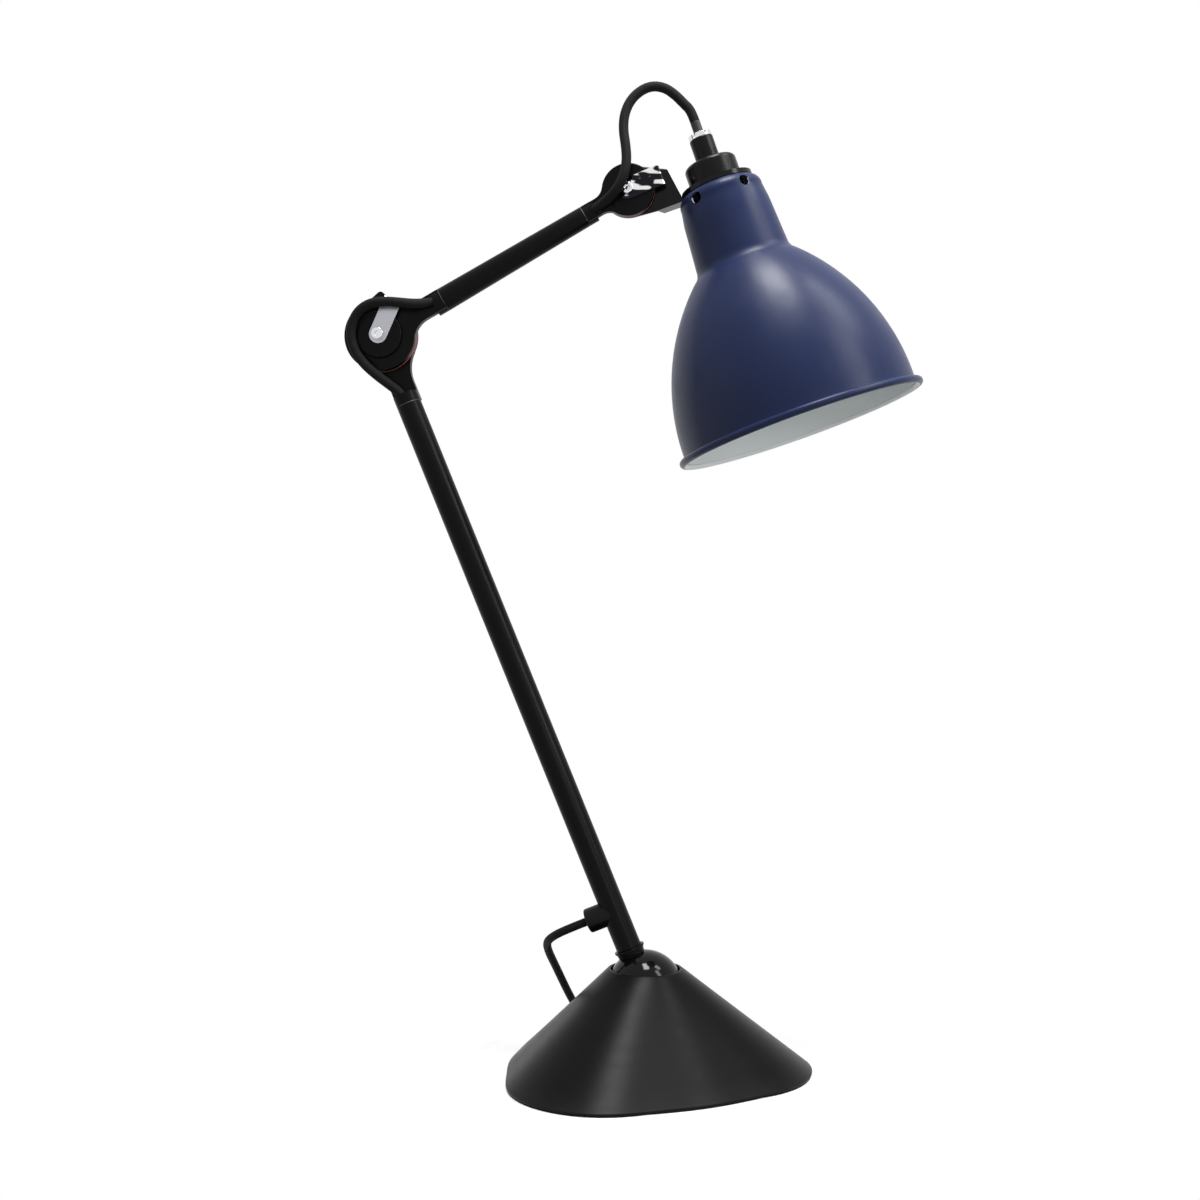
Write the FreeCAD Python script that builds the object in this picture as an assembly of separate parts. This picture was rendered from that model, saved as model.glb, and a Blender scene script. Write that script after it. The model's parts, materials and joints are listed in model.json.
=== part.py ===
"""A jointed desk lamp: a heavy cone base with a trapped ball, a long lower arm, a
short tapered upper arm and a spun bell shade on a bent bracket.

Millimetres, +Z up.  The origin is the middle of the base's underside.  Both arms
lie in the XZ plane and reach toward +X, where the shade hangs.  Every node is
written to parts/NODE.step.
"""
import FreeCAD, Part
import os
from math import acos, atan2, cos, degrees, pi, radians, sin, sqrt, tan

V = FreeCAD.Vector
X_AXIS, Y_AXIS, Z_AXIS = V(1, 0, 0), V(0, 1, 0), V(0, 0, 1)

# ---- driving sizes: base -------------------------------------------------------
PAD_T = 1.2              # rubber pad under the base
PAD_INSET = 0.6          # pad edge behind the base's edge
EDGE_REACH = 76.6        # base centre to the ends of a long edge
EDGE_BOW = 4.0           # how far a long edge swells at its middle
CORNER_R = 55.7          # radius of the three rounded corners
BASE_TURN = 0.0          # the first corner's azimuth, degrees
RIM_H = 1.0              # upright rim at the foot of the cone
RIM_ROUND = 0.6
BASE_TOP = 59.3          # height of the cone's mouth
TOP_R = 21.9             # cone's outer radius at the mouth
LIP_ROUND = 0.5
MOUTH_R = 20.3           # straight mouth that shows a gap round the ball
MOUTH_DEPTH = 2.5
SHELL_WALL = 6.0         # cast wall, square to the cone's face
PLATE_T = 4.0            # steel plate that closes the base
PLATE_GAP = 0.3
PLATE_LEDGE = 6.0        # rim wall round the plate
BOSS_WALL = 4.4          # wall of the tube that houses the ball
BOSS_FOOT = 11.0         # its lower end
POST_R = 5.0             # three screw posts
POST_PITCH_R = 60.0
BASE_SCREW_R = 2.0
BASE_SCREW_HEAD_R = 4.0
BASE_SCREW_GRIP = 9.0

# ---- driving sizes: ball joint -------------------------------------------------
BALL_R = 22.3
BALL_Z = 47.6
BALL_FIT = 0.05          # running clearance round the ball
BORE_FIT = 0.3           # ball's clearance in the straight bore
CUP_FOOT = 21.0
CUP_TOP = 37.0
CUP_EYE_R = 6.0
SPRING_T = 1.2
SPRING_H = 1.0           # height of each dished spring's cone
SPRING_IN_R = 8.5
SPRING_OUT_R = 19.0
PLUG_T = 5.0
PLUG_KEY_R = 2.5
PLUG_KEY_PITCH_R = 13.0
STEM_R = 5.0
STEM_TOP = 37.0          # from the ball's centre
STEM_FIT = 0.05
COLLAR_FOOT = 19.5
COLLAR_TOP = 25.5
COLLAR_R = 7.6
COLLAR_TOP_R = 8.5
COLLAR_FLANGE_R = 9.05
COLLAR_FLANGE_T = 1.4
CLIP_T = 1.2
CLIP_R = 6.0
BUSH_FOOT = 27.0
BUSH_TOP = 35.0

# ---- driving sizes: arms -------------------------------------------------------
LOWER_LENGTH = 417.7     # ball centre to elbow screw
LOWER_LEAN = -22.3       # degrees from upright, minus is to the left
LOWER_R = 7.5
TUBE_WALL = 1.2
LOWER_GAP = 0.2          # tube foot above the collar
LOWER_SHORT = 44.0       # tube mouth below the elbow screw
OUTLET_Z = 48.6          # cord outlet above the ball's centre
OUTLET_R = 7.25
OUTLET_REACH = 9.6
OUTLET_ROUND = 1.2
UPPER_LENGTH = 170.2     # elbow screw to wrist screw
UPPER_LEAN = 60.8
UPPER_R1 = 7.25          # at the elbow end
UPPER_R2 = 6.25          # at the wrist end
UPPER_START = 43.0
UPPER_SHORT = 29.2       # tube mouth short of the wrist screw

# ---- driving sizes: elbow and wrist joints -------------------------------------
WASHER_T = 1.6           # fibre friction washer
ELBOW_R = 21.5
ELBOW_PLATE_T = 4.7
ELBOW_BOSS_R = 13.9
ELBOW_BOSS_T = 2.4
ELBOW_EDGE = 0.8
NECK_FILLET = 22.0
UPPER_NECK_FILLET = 14.0
CORD_SIDE_FILLET = 2.5   # on the side where the cord comes in
LUG_ANGLE = 92.0         # stop lug, degrees from +X
LUG_REACH = 27.0
LUG_TIP_R = 2.4
PLUG_DEPTH = 16.0        # fitting's plug inside a tube
PLUG_FIT = 0.02
BARREL = 6.0             # round barrel of a fitting beyond its tube's mouth
WRIST_R = 15.5
WRIST_PLATE_T = 4.0
WRIST_NECK_FILLET = 8.0
SCREW_R = 2.0
SCREW_FIT = 0.08
ELBOW_HEAD_R = 3.5
WRIST_HEAD_R = 3.25
HEAD_T = 3.4
HEX_SOCKET = 3.0         # across the flats
HEX_DEPTH = 2.0
NUT_FLATS = 7.0
NUT_T = 3.2
LOCK_R = 4.4             # spring washer
LOCK_T = 1.1
TONGUE_T = 1.0
ELBOW_TONGUE_W = 11.0
ELBOW_TONGUE_REACH = 21.8
ELBOW_TONGUE_ANGLE = 66.0
ELBOW_TONGUE_DROP = 6.6
WRIST_TONGUE_W = 12.4
WRIST_TONGUE_REACH = 20.6
WRIST_TONGUE_ANGLE = 22.0
WRIST_TONGUE_DROP = 4.2
TONGUE_BEND_R = 1.4

# ---- driving sizes: head -------------------------------------------------------
HEAD_LEAN = -19.0        # shade axis from upright
WRIST_X, WRIST_Z = -49.9, 13.7   # wrist screw from the shade's crown
BRACKET_T = 2.0
BRACKET_WEB_END = -21.1
BRACKET_WEB_TOP_X, BRACKET_WEB_TOP_Z = -24.4, 18.3
BRACKET_TAB_X = -38.0
BRACKET_TAB_DEPTH = 13.0
RING_R = 21.4
RING_T = 2.6
RING_DROP = 0.3          # ring's top below the crown
HOLDER_R = 15.5
HOLDER_TOP = 13.2
HOLDER_ROUND = 3.0
CAP_R = 7.05
CAP_H = 14.4
CROWN_R = 6.85
CROWN_H = 2.8
CROWN_SLOTS = 6
SLEEVE_R = 2.9
SLEEVE_H = 7.9
NIPPLE_R = 5.0
SOCKET_R = 13.0          # lampholder barrel inside the shade
SOCKET_LENGTH = 34.0
SOCKET_WALL = 1.6
SHADE_RING_R = 18.0
SHADE_RING_T = 5.0
SHADE_WALL = 1.0
NECK_TOP_R = 20.0
NECK_SHOULDER_R = 24.9
NECK_R = 26.2
NECK_FOOT_R = 28.0
NECK_FOOT = 43.0
NECK_SHOULDER = 7.1
NECK_BELOW_SHOULDER = 16.0
BELL_START_R, BELL_START = 31.6, 50.0
BELL_MID_R, BELL_MID = 58.8, 89.0
BELL_LIP_R, BELL_LIP = 70.2, 147.0
BEAD_R = 2.2
BEAD_OUT = 1.7           # bead's centre outside the lip
VENT_R = 3.3
VENT_PITCH_R = 24.0
VENT_COUNT = 5
VENT_START = 234.0       # first hole's azimuth
VENT_DROP = 6.3          # holes below the shade's top
VENT_RISE = 0.35
BULB_CAP_R = 6.9
BULB_CAP_LENGTH = 26.0
BULB_R = 22.5
BULB_NECK = 14.0

# ---- driving sizes: cords ------------------------------------------------------
ARM_CORD_R = 2.9         # braided cord along the arms
MAINS_R = 2.5            # cord to the wall
FERRULE_R = 3.4
FERRULE_LENGTH = 5.0
FERRULE_SUNK = 2.0       # of it inside the tube
FERRULE_ROOM = 0.15      # between a ferrule and the tube's wall
ELBOW_LOOP = [           # the cord's points, from the elbow screw
    (5.9, -6.3, -29.7), (-1.7, -8.6, -23.9), (-8.9, -9.6, -17.3), (-14.3, -9.8, -9.3),
    (-16.5, -9.8, -0.1), (-14.7, -10.4, 8.7), (-9.5, -12.0, 14.9), (-1.9, -13.2, 18.1),
    (7.1, -13.4, 18.3), (15.3, -13.0, 17.5), (22.7, -10.4, 17.1)]
HEAD_LOOP = [            # the cord's points, from the wrist screw
    (-10.7, -8.4, -5.9), (-5.5, -12.4, -1.6), (-1.6, -13.4, 5.3), (0.1, -12.2, 14.5),
    (-0.7, -10.4, 24.1), (-2.3, -8.2, 33.3), (-2.0, -6.8, 42.7), (1.2, -5.4, 51.2),
    (6.9, -4.2, 57.3), (13.9, -3.2, 60.5), (21.3, -2.0, 59.7), (27.5, -1.0, 55.6),
    (32.7, -0.3, 50.3)]
COIL_MEAN_R = 30.0
COIL_PITCH = 5.5
COIL_TURNS = 4.0         # in the lower layer
COIL_X, COIL_Y = -8.8, 132.5
COIL_START = 180.0       # azimuth where the cord joins the coil, degrees
COIL_END = 10.0          # azimuth where it leaves, on top
PLUG_LENGTH = 36.0
PLUG_W = 13.7
PLUG_NOSE_W = 34.0
PIN_R = 2.0
PIN_LENGTH = 19.0
PIN_PITCH = 18.6

# ---- worked out ----------------------------------------------------------------
HALF_WASHER = WASHER_T / 2
BALL = V(0, 0, BALL_Z)


def heading(lean):
    """Unit vector in the XZ plane, `lean` degrees from upright toward +X."""
    return V(sin(radians(lean)), 0, cos(radians(lean)))


ELBOW = BALL + heading(LOWER_LEAN) * LOWER_LENGTH
WRIST = ELBOW + heading(UPPER_LEAN) * UPPER_LENGTH
HEAD_SIDE = heading(HEAD_LEAN + 90)
HEAD_UP = heading(HEAD_LEAN)
CROWN = WRIST - HEAD_SIDE * WRIST_X - HEAD_UP * WRIST_Z

parts = {}


def keep(node, shape):
    """Hold a finished shape under its node's name."""
    parts[node] = shape


def stand(shape, origin, lean):
    """Place a shape modelled upright at the origin onto an arm's own axis."""
    placed = shape.copy()
    placed.rotate(V(0, 0, 0), Y_AXIS, lean)
    placed.translate(origin)
    return placed


def rod(radius, start, end):
    """Upright cylinder between two heights."""
    return Part.makeCylinder(radius, end - start, V(0, 0, start))


def tube(outer, inner, start, end):
    return rod(outer, start, end).cut(rod(inner, start - 1, end + 1))


def disc(radius, start, end, x=0.0, z=0.0):
    """Cylinder along Y, from y=start to y=end."""
    low, high = min(start, end), max(start, end)
    return Part.makeCylinder(radius, high - low, V(x, low, z), Y_AXIS)


def hex_prism(flats, start, end):
    """Hexagon along Y, `flats` across."""
    reach = flats / 2 / cos(pi / 6)
    ring = [V(reach * cos(k * pi / 3), start, reach * sin(k * pi / 3)) for k in range(7)]
    return Part.Face(Part.makePolygon(ring)).extrude(V(0, end - start, 0))


def revolve(outline):
    """Solid of revolution about Z from edges in the XZ plane."""
    face = Part.Face(Part.Wire(Part.__sortEdges__(outline)))
    return face.revolve(V(0, 0, 0), Z_AXIS, 360)


def chain(points):
    return [Part.makeLine(a, b) for a, b in zip(points, points[1:])]


def arc(a, b, c):
    return Part.Arc(a, b, c).toShape()


def rounded(shape, radius, chosen):
    """Round the edges that `chosen` picks."""
    return shape.makeFillet(radius, [edge for edge in shape.Edges if chosen(edge)])


def flat_edge_at(z):
    """Picks edges that lie level at height z."""
    def chosen(edge):
        box = edge.BoundBox
        return abs(box.ZMin - z) < 1e-4 and abs(box.ZMax - z) < 1e-4
    return chosen


def edge_at_y(y):
    """Picks edges that lie in the plane of one y."""
    def chosen(edge):
        box = edge.BoundBox
        return abs(box.YMin - y) < 1e-4 and abs(box.YMax - y) < 1e-4
    return chosen


# ================================================================ base
SWELL = EDGE_REACH - CORNER_R        # corner centres stand at twice this
CORNER_AT = [BASE_TURN + 120 * k for k in range(3)]
SPREAD = degrees(atan2(CORNER_R * sin(radians(60)), 2 * SWELL + CORNER_R * cos(radians(60))))


def polar(radius, azimuth, z):
    return V(radius * cos(radians(azimuth)), radius * sin(radians(azimuth)), z)


def triangle_wire(inset, z):
    """Rounded-triangle outline, moved in by `inset`."""
    radius = CORNER_R - inset
    edges = []
    for azimuth in CORNER_AT:
        centre = polar(2 * SWELL, azimuth, z)
        begin, middle, end = (centre + polar(radius, azimuth + turn, 0) for turn in (-60, 0, 60))
        edges.append(arc(begin, middle, end))
        bow = polar(EDGE_REACH + EDGE_BOW - inset, azimuth + 60, z)
        next_centre = polar(2 * SWELL, azimuth + 120, z)
        edges.append(arc(end, bow, next_centre + polar(radius, azimuth + 60, 0)))
    return Part.Wire(edges)


def round_wire(radius, z):
    """Circle in six arcs that face the triangle's six edges."""
    edges = []
    for azimuth in CORNER_AT:
        stops = [azimuth - SPREAD, azimuth, azimuth + SPREAD, azimuth + 60, azimuth + 120 - SPREAD]
        a, b, c, d, e = (polar(radius, stop, z) for stop in stops)
        edges += [arc(a, b, c), arc(c, d, e)]
    return Part.Wire(edges)


def prism(inset, low, high):
    """Upright slab of the base's outline."""
    return Part.Face(triangle_wire(inset, low)).extrude(V(0, 0, high - low))


RIM_TOP = PAD_T + RIM_H
CONE_RUN = (EDGE_REACH - TOP_R) / (BASE_TOP - RIM_TOP)     # sideways per mm of height
WALL_ACROSS = SHELL_WALL * sqrt(1 + CONE_RUN ** 2)
BORE_R = BALL_R + BORE_FIT
BOSS_R = BORE_R + BOSS_WALL
CAVITY_TOP = BASE_TOP - (BOSS_R + WALL_ACROSS - TOP_R) / CONE_RUN
PLATE_TOP = PAD_T + PLATE_T
POSTS = [polar(POST_PITCH_R, azimuth, 0) for azimuth in CORNER_AT]


def make_base():
    cone = Part.makeLoft([triangle_wire(0, RIM_TOP), round_wire(TOP_R, BASE_TOP)], True, True)
    rim = rounded(prism(0, PAD_T, RIM_TOP), RIM_ROUND, flat_edge_at(PAD_T))
    cavity = Part.makeLoft(
        [triangle_wire(WALL_ACROSS, RIM_TOP), round_wire(BOSS_R, CAVITY_TOP)], True, True)
    cavity = cavity.fuse(prism(WALL_ACROSS, PAD_T, RIM_TOP))
    cavity = cavity.cut(rod(BOSS_R, BOSS_FOOT, BASE_TOP))
    for post in POSTS:
        cavity = cavity.cut(Part.makeCylinder(POST_R, BASE_TOP, post + V(0, 0, PLATE_TOP)))
    shell = cone.fuse(rim).removeSplitter()
    shell = rounded(shell, LIP_ROUND, flat_edge_at(BASE_TOP))
    shell = shell.cut(cavity).cut(prism(PLATE_LEDGE, PAD_T - 1, PLATE_TOP))
    shell = shell.cut(Part.makeSphere(BALL_R + BALL_FIT, BALL)).cut(rod(BORE_R, 0, BALL_Z))
    shell = shell.cut(rod(MOUTH_R, BASE_TOP - MOUTH_DEPTH, BASE_TOP + 1))
    for post in POSTS:
        hole = Part.makeCylinder(BASE_SCREW_R, BASE_SCREW_GRIP + 1, post + V(0, 0, PAD_T))
        shell = shell.cut(hole)
    keep("base_shell", shell)

    plate = prism(PLATE_LEDGE + PLATE_GAP, PAD_T, PLATE_TOP)
    screws = []
    for post in POSTS:
        foot = post + V(0, 0, PAD_T)
        head = Part.makeCone(BASE_SCREW_HEAD_R, BASE_SCREW_R, BASE_SCREW_HEAD_R - BASE_SCREW_R, foot)
        screw = head.fuse(Part.makeCylinder(BASE_SCREW_R, BASE_SCREW_GRIP, foot)).removeSplitter()
        key = Part.makeBox(BASE_SCREW_HEAD_R * 1.4, 0.9, 0.8, foot - V(BASE_SCREW_HEAD_R * 0.7, 0.45, 0))
        screws.append(screw.cut(key))
        plate = plate.cut(screw)
    keep("base_plate", plate)
    keep("base_screws", Part.makeCompound(screws))
    keep("base_pad", prism(PAD_INSET, 0, PAD_T))


# ================================================================ ball joint
def make_ball_joint():
    spring_foot = CUP_FOOT - 2 * (SPRING_H + SPRING_T)
    plug = rod(BORE_R, spring_foot - PLUG_T, spring_foot)
    for side in (-1, 1):
        key = Part.makeCylinder(PLUG_KEY_R, PLUG_T, V(side * PLUG_KEY_PITCH_R, 0, spring_foot - PLUG_T))
        plug = plug.cut(key)
    keep("ball_plug", plug)

    springs = []
    for low, inner, outer in ((spring_foot, SPRING_H, 0), (spring_foot + SPRING_H + SPRING_T, 0, SPRING_H)):
        ring = [V(SPRING_IN_R, 0, low + inner), V(SPRING_OUT_R, 0, low + outer),
                V(SPRING_OUT_R, 0, low + outer + SPRING_T), V(SPRING_IN_R, 0, low + inner + SPRING_T),
                V(SPRING_IN_R, 0, low + inner)]
        springs.append(revolve(chain(ring)))
    keep("ball_springs", Part.makeCompound(springs))

    cup = rod(BALL_R, CUP_FOOT, CUP_TOP).cut(Part.makeSphere(BALL_R + BALL_FIT, BALL))
    keep("friction_cup", cup.cut(rod(CUP_EYE_R, CUP_FOOT - 1, BALL_Z)))

    # ball, stem and collar stand along the lower arm
    ball = Part.makeSphere(BALL_R).fuse(rod(STEM_R, 0, STEM_TOP))
    ball = ball.cut(tube(STEM_R + 1, STEM_R - 0.5, STEM_TOP - 2 * CLIP_T, STEM_TOP - CLIP_T))
    keep("ball_stem", stand(ball, BALL, LOWER_LEAN))

    flange_foot = COLLAR_TOP - COLLAR_FLANGE_T
    collar = Part.makeCone(COLLAR_R, COLLAR_TOP_R, flange_foot - COLLAR_FOOT, V(0, 0, COLLAR_FOOT))
    collar = collar.fuse(rod(COLLAR_FLANGE_R, flange_foot, COLLAR_TOP))
    collar = collar.cut(Part.makeSphere(BALL_R)).cut(rod(STEM_R, 0, STEM_TOP))
    keep("collar_nut", stand(collar, BALL, LOWER_LEAN))

    clip = tube(CLIP_R, STEM_R - 0.5, STEM_TOP - 2 * CLIP_T, STEM_TOP - CLIP_T)
    clip = clip.cut(Part.makeBox(CLIP_R, 3.0, STEM_TOP, V(1.0, -1.5, 0)))
    keep("stem_clip", stand(clip, BALL, LOWER_LEAN))


# ================================================================ lower arm
LOWER_BORE_R = LOWER_R - TUBE_WALL
LOWER_NECK_HALF = LOWER_R
LOWER_CORD_Y = -(LOWER_BORE_R - FERRULE_R - FERRULE_ROOM)      # cord lies against the tube's front


def screw_hole(radius=None):
    return disc(radius or SCREW_R + SCREW_FIT, -60, 60)


def neck_outline(reach, half_width, disc_r, fillet, side):
    """Edges of one flank of a neck: a hollow fillet between a disc and a tube.

    Local frame: the disc at the origin, the tube leaving down -Z, `side` is the
    flank's sign in X.  Returns the fillet's two ends, its middle and the far end.
    """
    centre_x = half_width + fillet
    centre_z = -sqrt((disc_r + fillet) ** 2 - centre_x ** 2)
    centre = V(side * centre_x, 0, centre_z)
    on_disc = centre * (disc_r / (disc_r + fillet))
    on_tube = V(side * half_width, 0, centre_z)
    middle = centre + (on_disc + on_tube - centre * 2).normalize() * fillet
    return on_disc, middle, on_tube, V(side * half_width, 0, -reach)


def neck(reach, half_left, half_right, disc_r, fillet_left, fillet_right, start, end):
    """Flat neck between a joint's disc and its tube, from y=start to y=end."""
    left = neck_outline(reach, half_left, disc_r, fillet_left, -1)
    right = neck_outline(reach, half_right, disc_r, fillet_right, 1)
    edges = [arc(*left[:3]), Part.makeLine(left[2], left[3]), Part.makeLine(left[3], right[3]),
             Part.makeLine(right[3], right[2]), arc(right[2], right[1], right[0]),
             Part.makeLine(right[0], V(0, 0, 0)), Part.makeLine(V(0, 0, 0), left[0])]
    face = Part.Face(Part.Wire(edges))
    face.translate(V(0, start, 0))
    return face.extrude(V(0, end - start, 0))


def make_lower_arm():
    foot = COLLAR_TOP + LOWER_GAP
    mouth = LOWER_LENGTH - LOWER_SHORT
    pipe = tube(LOWER_R, LOWER_BORE_R, foot, mouth)
    wire_hole = Part.makeCylinder(MAINS_R + 0.3, LOWER_R + 1, V(0, 0, OUTLET_Z), -X_AXIS)
    pipe = rounded(pipe, 0.4, flat_edge_at(mouth)).cut(wire_hole)
    keep("lower_tube", stand(pipe, BALL, LOWER_LEAN))

    bush = tube(LOWER_BORE_R, STEM_R + STEM_FIT, BUSH_FOOT, BUSH_TOP - CLIP_T)
    keep("stem_bush", stand(bush, BALL, LOWER_LEAN))

    outlet = Part.makeCylinder(OUTLET_R, LOWER_R + OUTLET_REACH, V(0, 0, OUTLET_Z), -X_AXIS)
    outlet = outlet.makeFillet(OUTLET_ROUND, [edge for edge in outlet.Edges
                                              if edge.BoundBox.XMax < -LOWER_R - OUTLET_REACH + 0.01])
    outlet = outlet.cut(rod(LOWER_R, 0, 2 * OUTLET_Z)).cut(
        Part.makeCylinder(MAINS_R, LOWER_R + OUTLET_REACH - 4.0, V(0, 0, OUTLET_Z), -X_AXIS))
    keep("cord_outlet", stand(outlet, BALL, LOWER_LEAN))

    back = HALF_WASHER + ELBOW_PLATE_T
    plate = rounded(disc(ELBOW_R, HALF_WASHER, back), ELBOW_EDGE, edge_at_y(back))
    web = neck(LOWER_SHORT + 1, LOWER_NECK_HALF, LOWER_NECK_HALF, ELBOW_R, NECK_FILLET, NECK_FILLET,
               HALF_WASHER, back)
    shoulder = Part.makeCylinder(LOWER_BORE_R - PLUG_FIT, PLUG_DEPTH + 6, V(0, 0, -LOWER_SHORT - PLUG_DEPTH))
    fitting = plate.fuse(web)
    cord_way = Part.makeCylinder(
        FERRULE_R, LOWER_SHORT + PLUG_DEPTH, V(0, LOWER_CORD_Y, -LOWER_SHORT - PLUG_DEPTH - 1))
    front_cut = Part.makeBox(40, 20, 40, V(-20, -20 + HALF_WASHER, -LOWER_SHORT))
    fitting = fitting.fuse(shoulder.cut(cord_way).cut(front_cut))
    fitting = fitting.fuse(rod(LOWER_R, -LOWER_SHORT, BARREL - LOWER_SHORT))
    trim = tube(40, LOWER_BORE_R - PLUG_FIT, -LOWER_SHORT - 1.001, -LOWER_SHORT)
    fitting = fitting.cut(trim).fuse(make_lug(back)).cut(screw_hole()).removeSplitter()
    keep("lower_elbow_fitting", stand(fitting, ELBOW, LOWER_LEAN).cut(cord_groove(elbow_route()[:6])))


def make_lug(back):
    """Stop lug on the rear disc, a rounded tooth whose left flank leaves the rim smoothly."""
    turn = radians(LUG_ANGLE - (90 - LOWER_LEAN))      # local angle from the tube's axis
    reach = LUG_REACH - LUG_TIP_R
    tip = V(-reach * sin(turn), 0, reach * cos(turn))
    away = atan2(tip.z, tip.x)
    open_by = acos((ELBOW_R - LUG_TIP_R) / reach)
    left = V(cos(away + open_by), 0, sin(away + open_by))
    out = V(cos(away), 0, sin(away))
    right = V(sin(away), 0, -cos(away))
    points = [V(0, 0, 0), left * ELBOW_R, tip + left * LUG_TIP_R]
    edges = chain(points) + [arc(points[-1], tip + out * LUG_TIP_R, tip + right * LUG_TIP_R)]
    root = tip + right * LUG_TIP_R - out * (reach - ELBOW_R * 0.8)
    edges += chain([tip + right * LUG_TIP_R, root, V(0, 0, 0)])
    face = Part.Face(Part.Wire(edges))
    face.translate(V(0, HALF_WASHER, 0))
    return face.extrude(V(0, back - HALF_WASHER, 0))


# ================================================================ joint hardware
def make_hardware(name, centre, lean, front, back, head_r):
    """Screw, spring washer and nut along Y; `front` and `back` are the faces they clamp."""
    end = back + LOCK_T + NUT_T + 1.2
    head = rounded(disc(head_r, front - HEAD_T, front), 0.5, edge_at_y(front - HEAD_T))
    screw = head.fuse(disc(SCREW_R, front - 0.5, end)).removeSplitter()
    screw = screw.cut(hex_prism(HEX_SOCKET, front - HEAD_T - 1, front - HEAD_T + HEX_DEPTH))
    keep(name + "_screw", stand(screw, centre, lean))
    lock = disc(LOCK_R, back, back + LOCK_T).cut(screw_hole())
    keep(name + "_spring_washer", stand(lock, centre, lean))
    nut = hex_prism(NUT_FLATS, back + LOCK_T, back + LOCK_T + NUT_T).cut(screw_hole(SCREW_R + 0.02))
    keep(name + "_nut", stand(nut, centre, lean))


def make_tongue(name, centre, front, width, reach, angle, drop):
    """Polished lock plate under the screw head, its far end bent back past the rim."""
    seat = disc(width / 2, front - TONGUE_T, front)
    blade = Part.makeBox(reach, TONGUE_T, width, V(0, front - TONGUE_T, -width / 2))
    bent = Part.makeBox(TONGUE_T, drop + TONGUE_T, width, V(reach, front - TONGUE_T, -width / 2))
    tongue = seat.fuse(blade).fuse(bent).removeSplitter()
    corner = [edge for edge in tongue.Edges
              if edge.BoundBox.XMin > reach + TONGUE_T - 1e-3 and edge.BoundBox.YMax < front - TONGUE_T + 1e-3]
    tongue = tongue.makeFillet(TONGUE_BEND_R, corner).cut(screw_hole())
    tongue.rotate(V(0, 0, 0), Y_AXIS, -angle)
    tongue.translate(centre)
    keep(name, tongue)


ELBOW_FRONT = -(HALF_WASHER + ELBOW_PLATE_T + ELBOW_BOSS_T)
WRIST_FRONT = -(HALF_WASHER + WRIST_PLATE_T)


def make_joint_hardware():
    washer = disc(ELBOW_R, -HALF_WASHER, HALF_WASHER).cut(screw_hole())
    keep("elbow_friction_washer", stand(washer, ELBOW, LOWER_LEAN))
    make_hardware("elbow", ELBOW, LOWER_LEAN, ELBOW_FRONT - TONGUE_T, HALF_WASHER + ELBOW_PLATE_T, ELBOW_HEAD_R)
    make_tongue("elbow_tongue", ELBOW, ELBOW_FRONT, ELBOW_TONGUE_W, ELBOW_TONGUE_REACH,
                ELBOW_TONGUE_ANGLE, ELBOW_TONGUE_DROP)
    washer = disc(WRIST_R, -HALF_WASHER, HALF_WASHER).cut(screw_hole())
    keep("wrist_friction_washer", stand(washer, WRIST, UPPER_LEAN))
    make_hardware("wrist", WRIST, UPPER_LEAN, WRIST_FRONT - TONGUE_T, HALF_WASHER + BRACKET_T, WRIST_HEAD_R)
    make_tongue("wrist_tongue", WRIST, WRIST_FRONT, WRIST_TONGUE_W, WRIST_TONGUE_REACH,
                WRIST_TONGUE_ANGLE, WRIST_TONGUE_DROP)


# ================================================================ upper arm
UPPER_BORE_R1 = UPPER_R1 - TUBE_WALL
UPPER_BORE_R2 = UPPER_R2 - TUBE_WALL
ELBOW_CORD_Y = -(UPPER_BORE_R1 - FERRULE_R - FERRULE_ROOM)         # cords lie against the tube's front
WRIST_CORD_Y = -(UPPER_BORE_R2 - FERRULE_R - FERRULE_ROOM)


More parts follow.
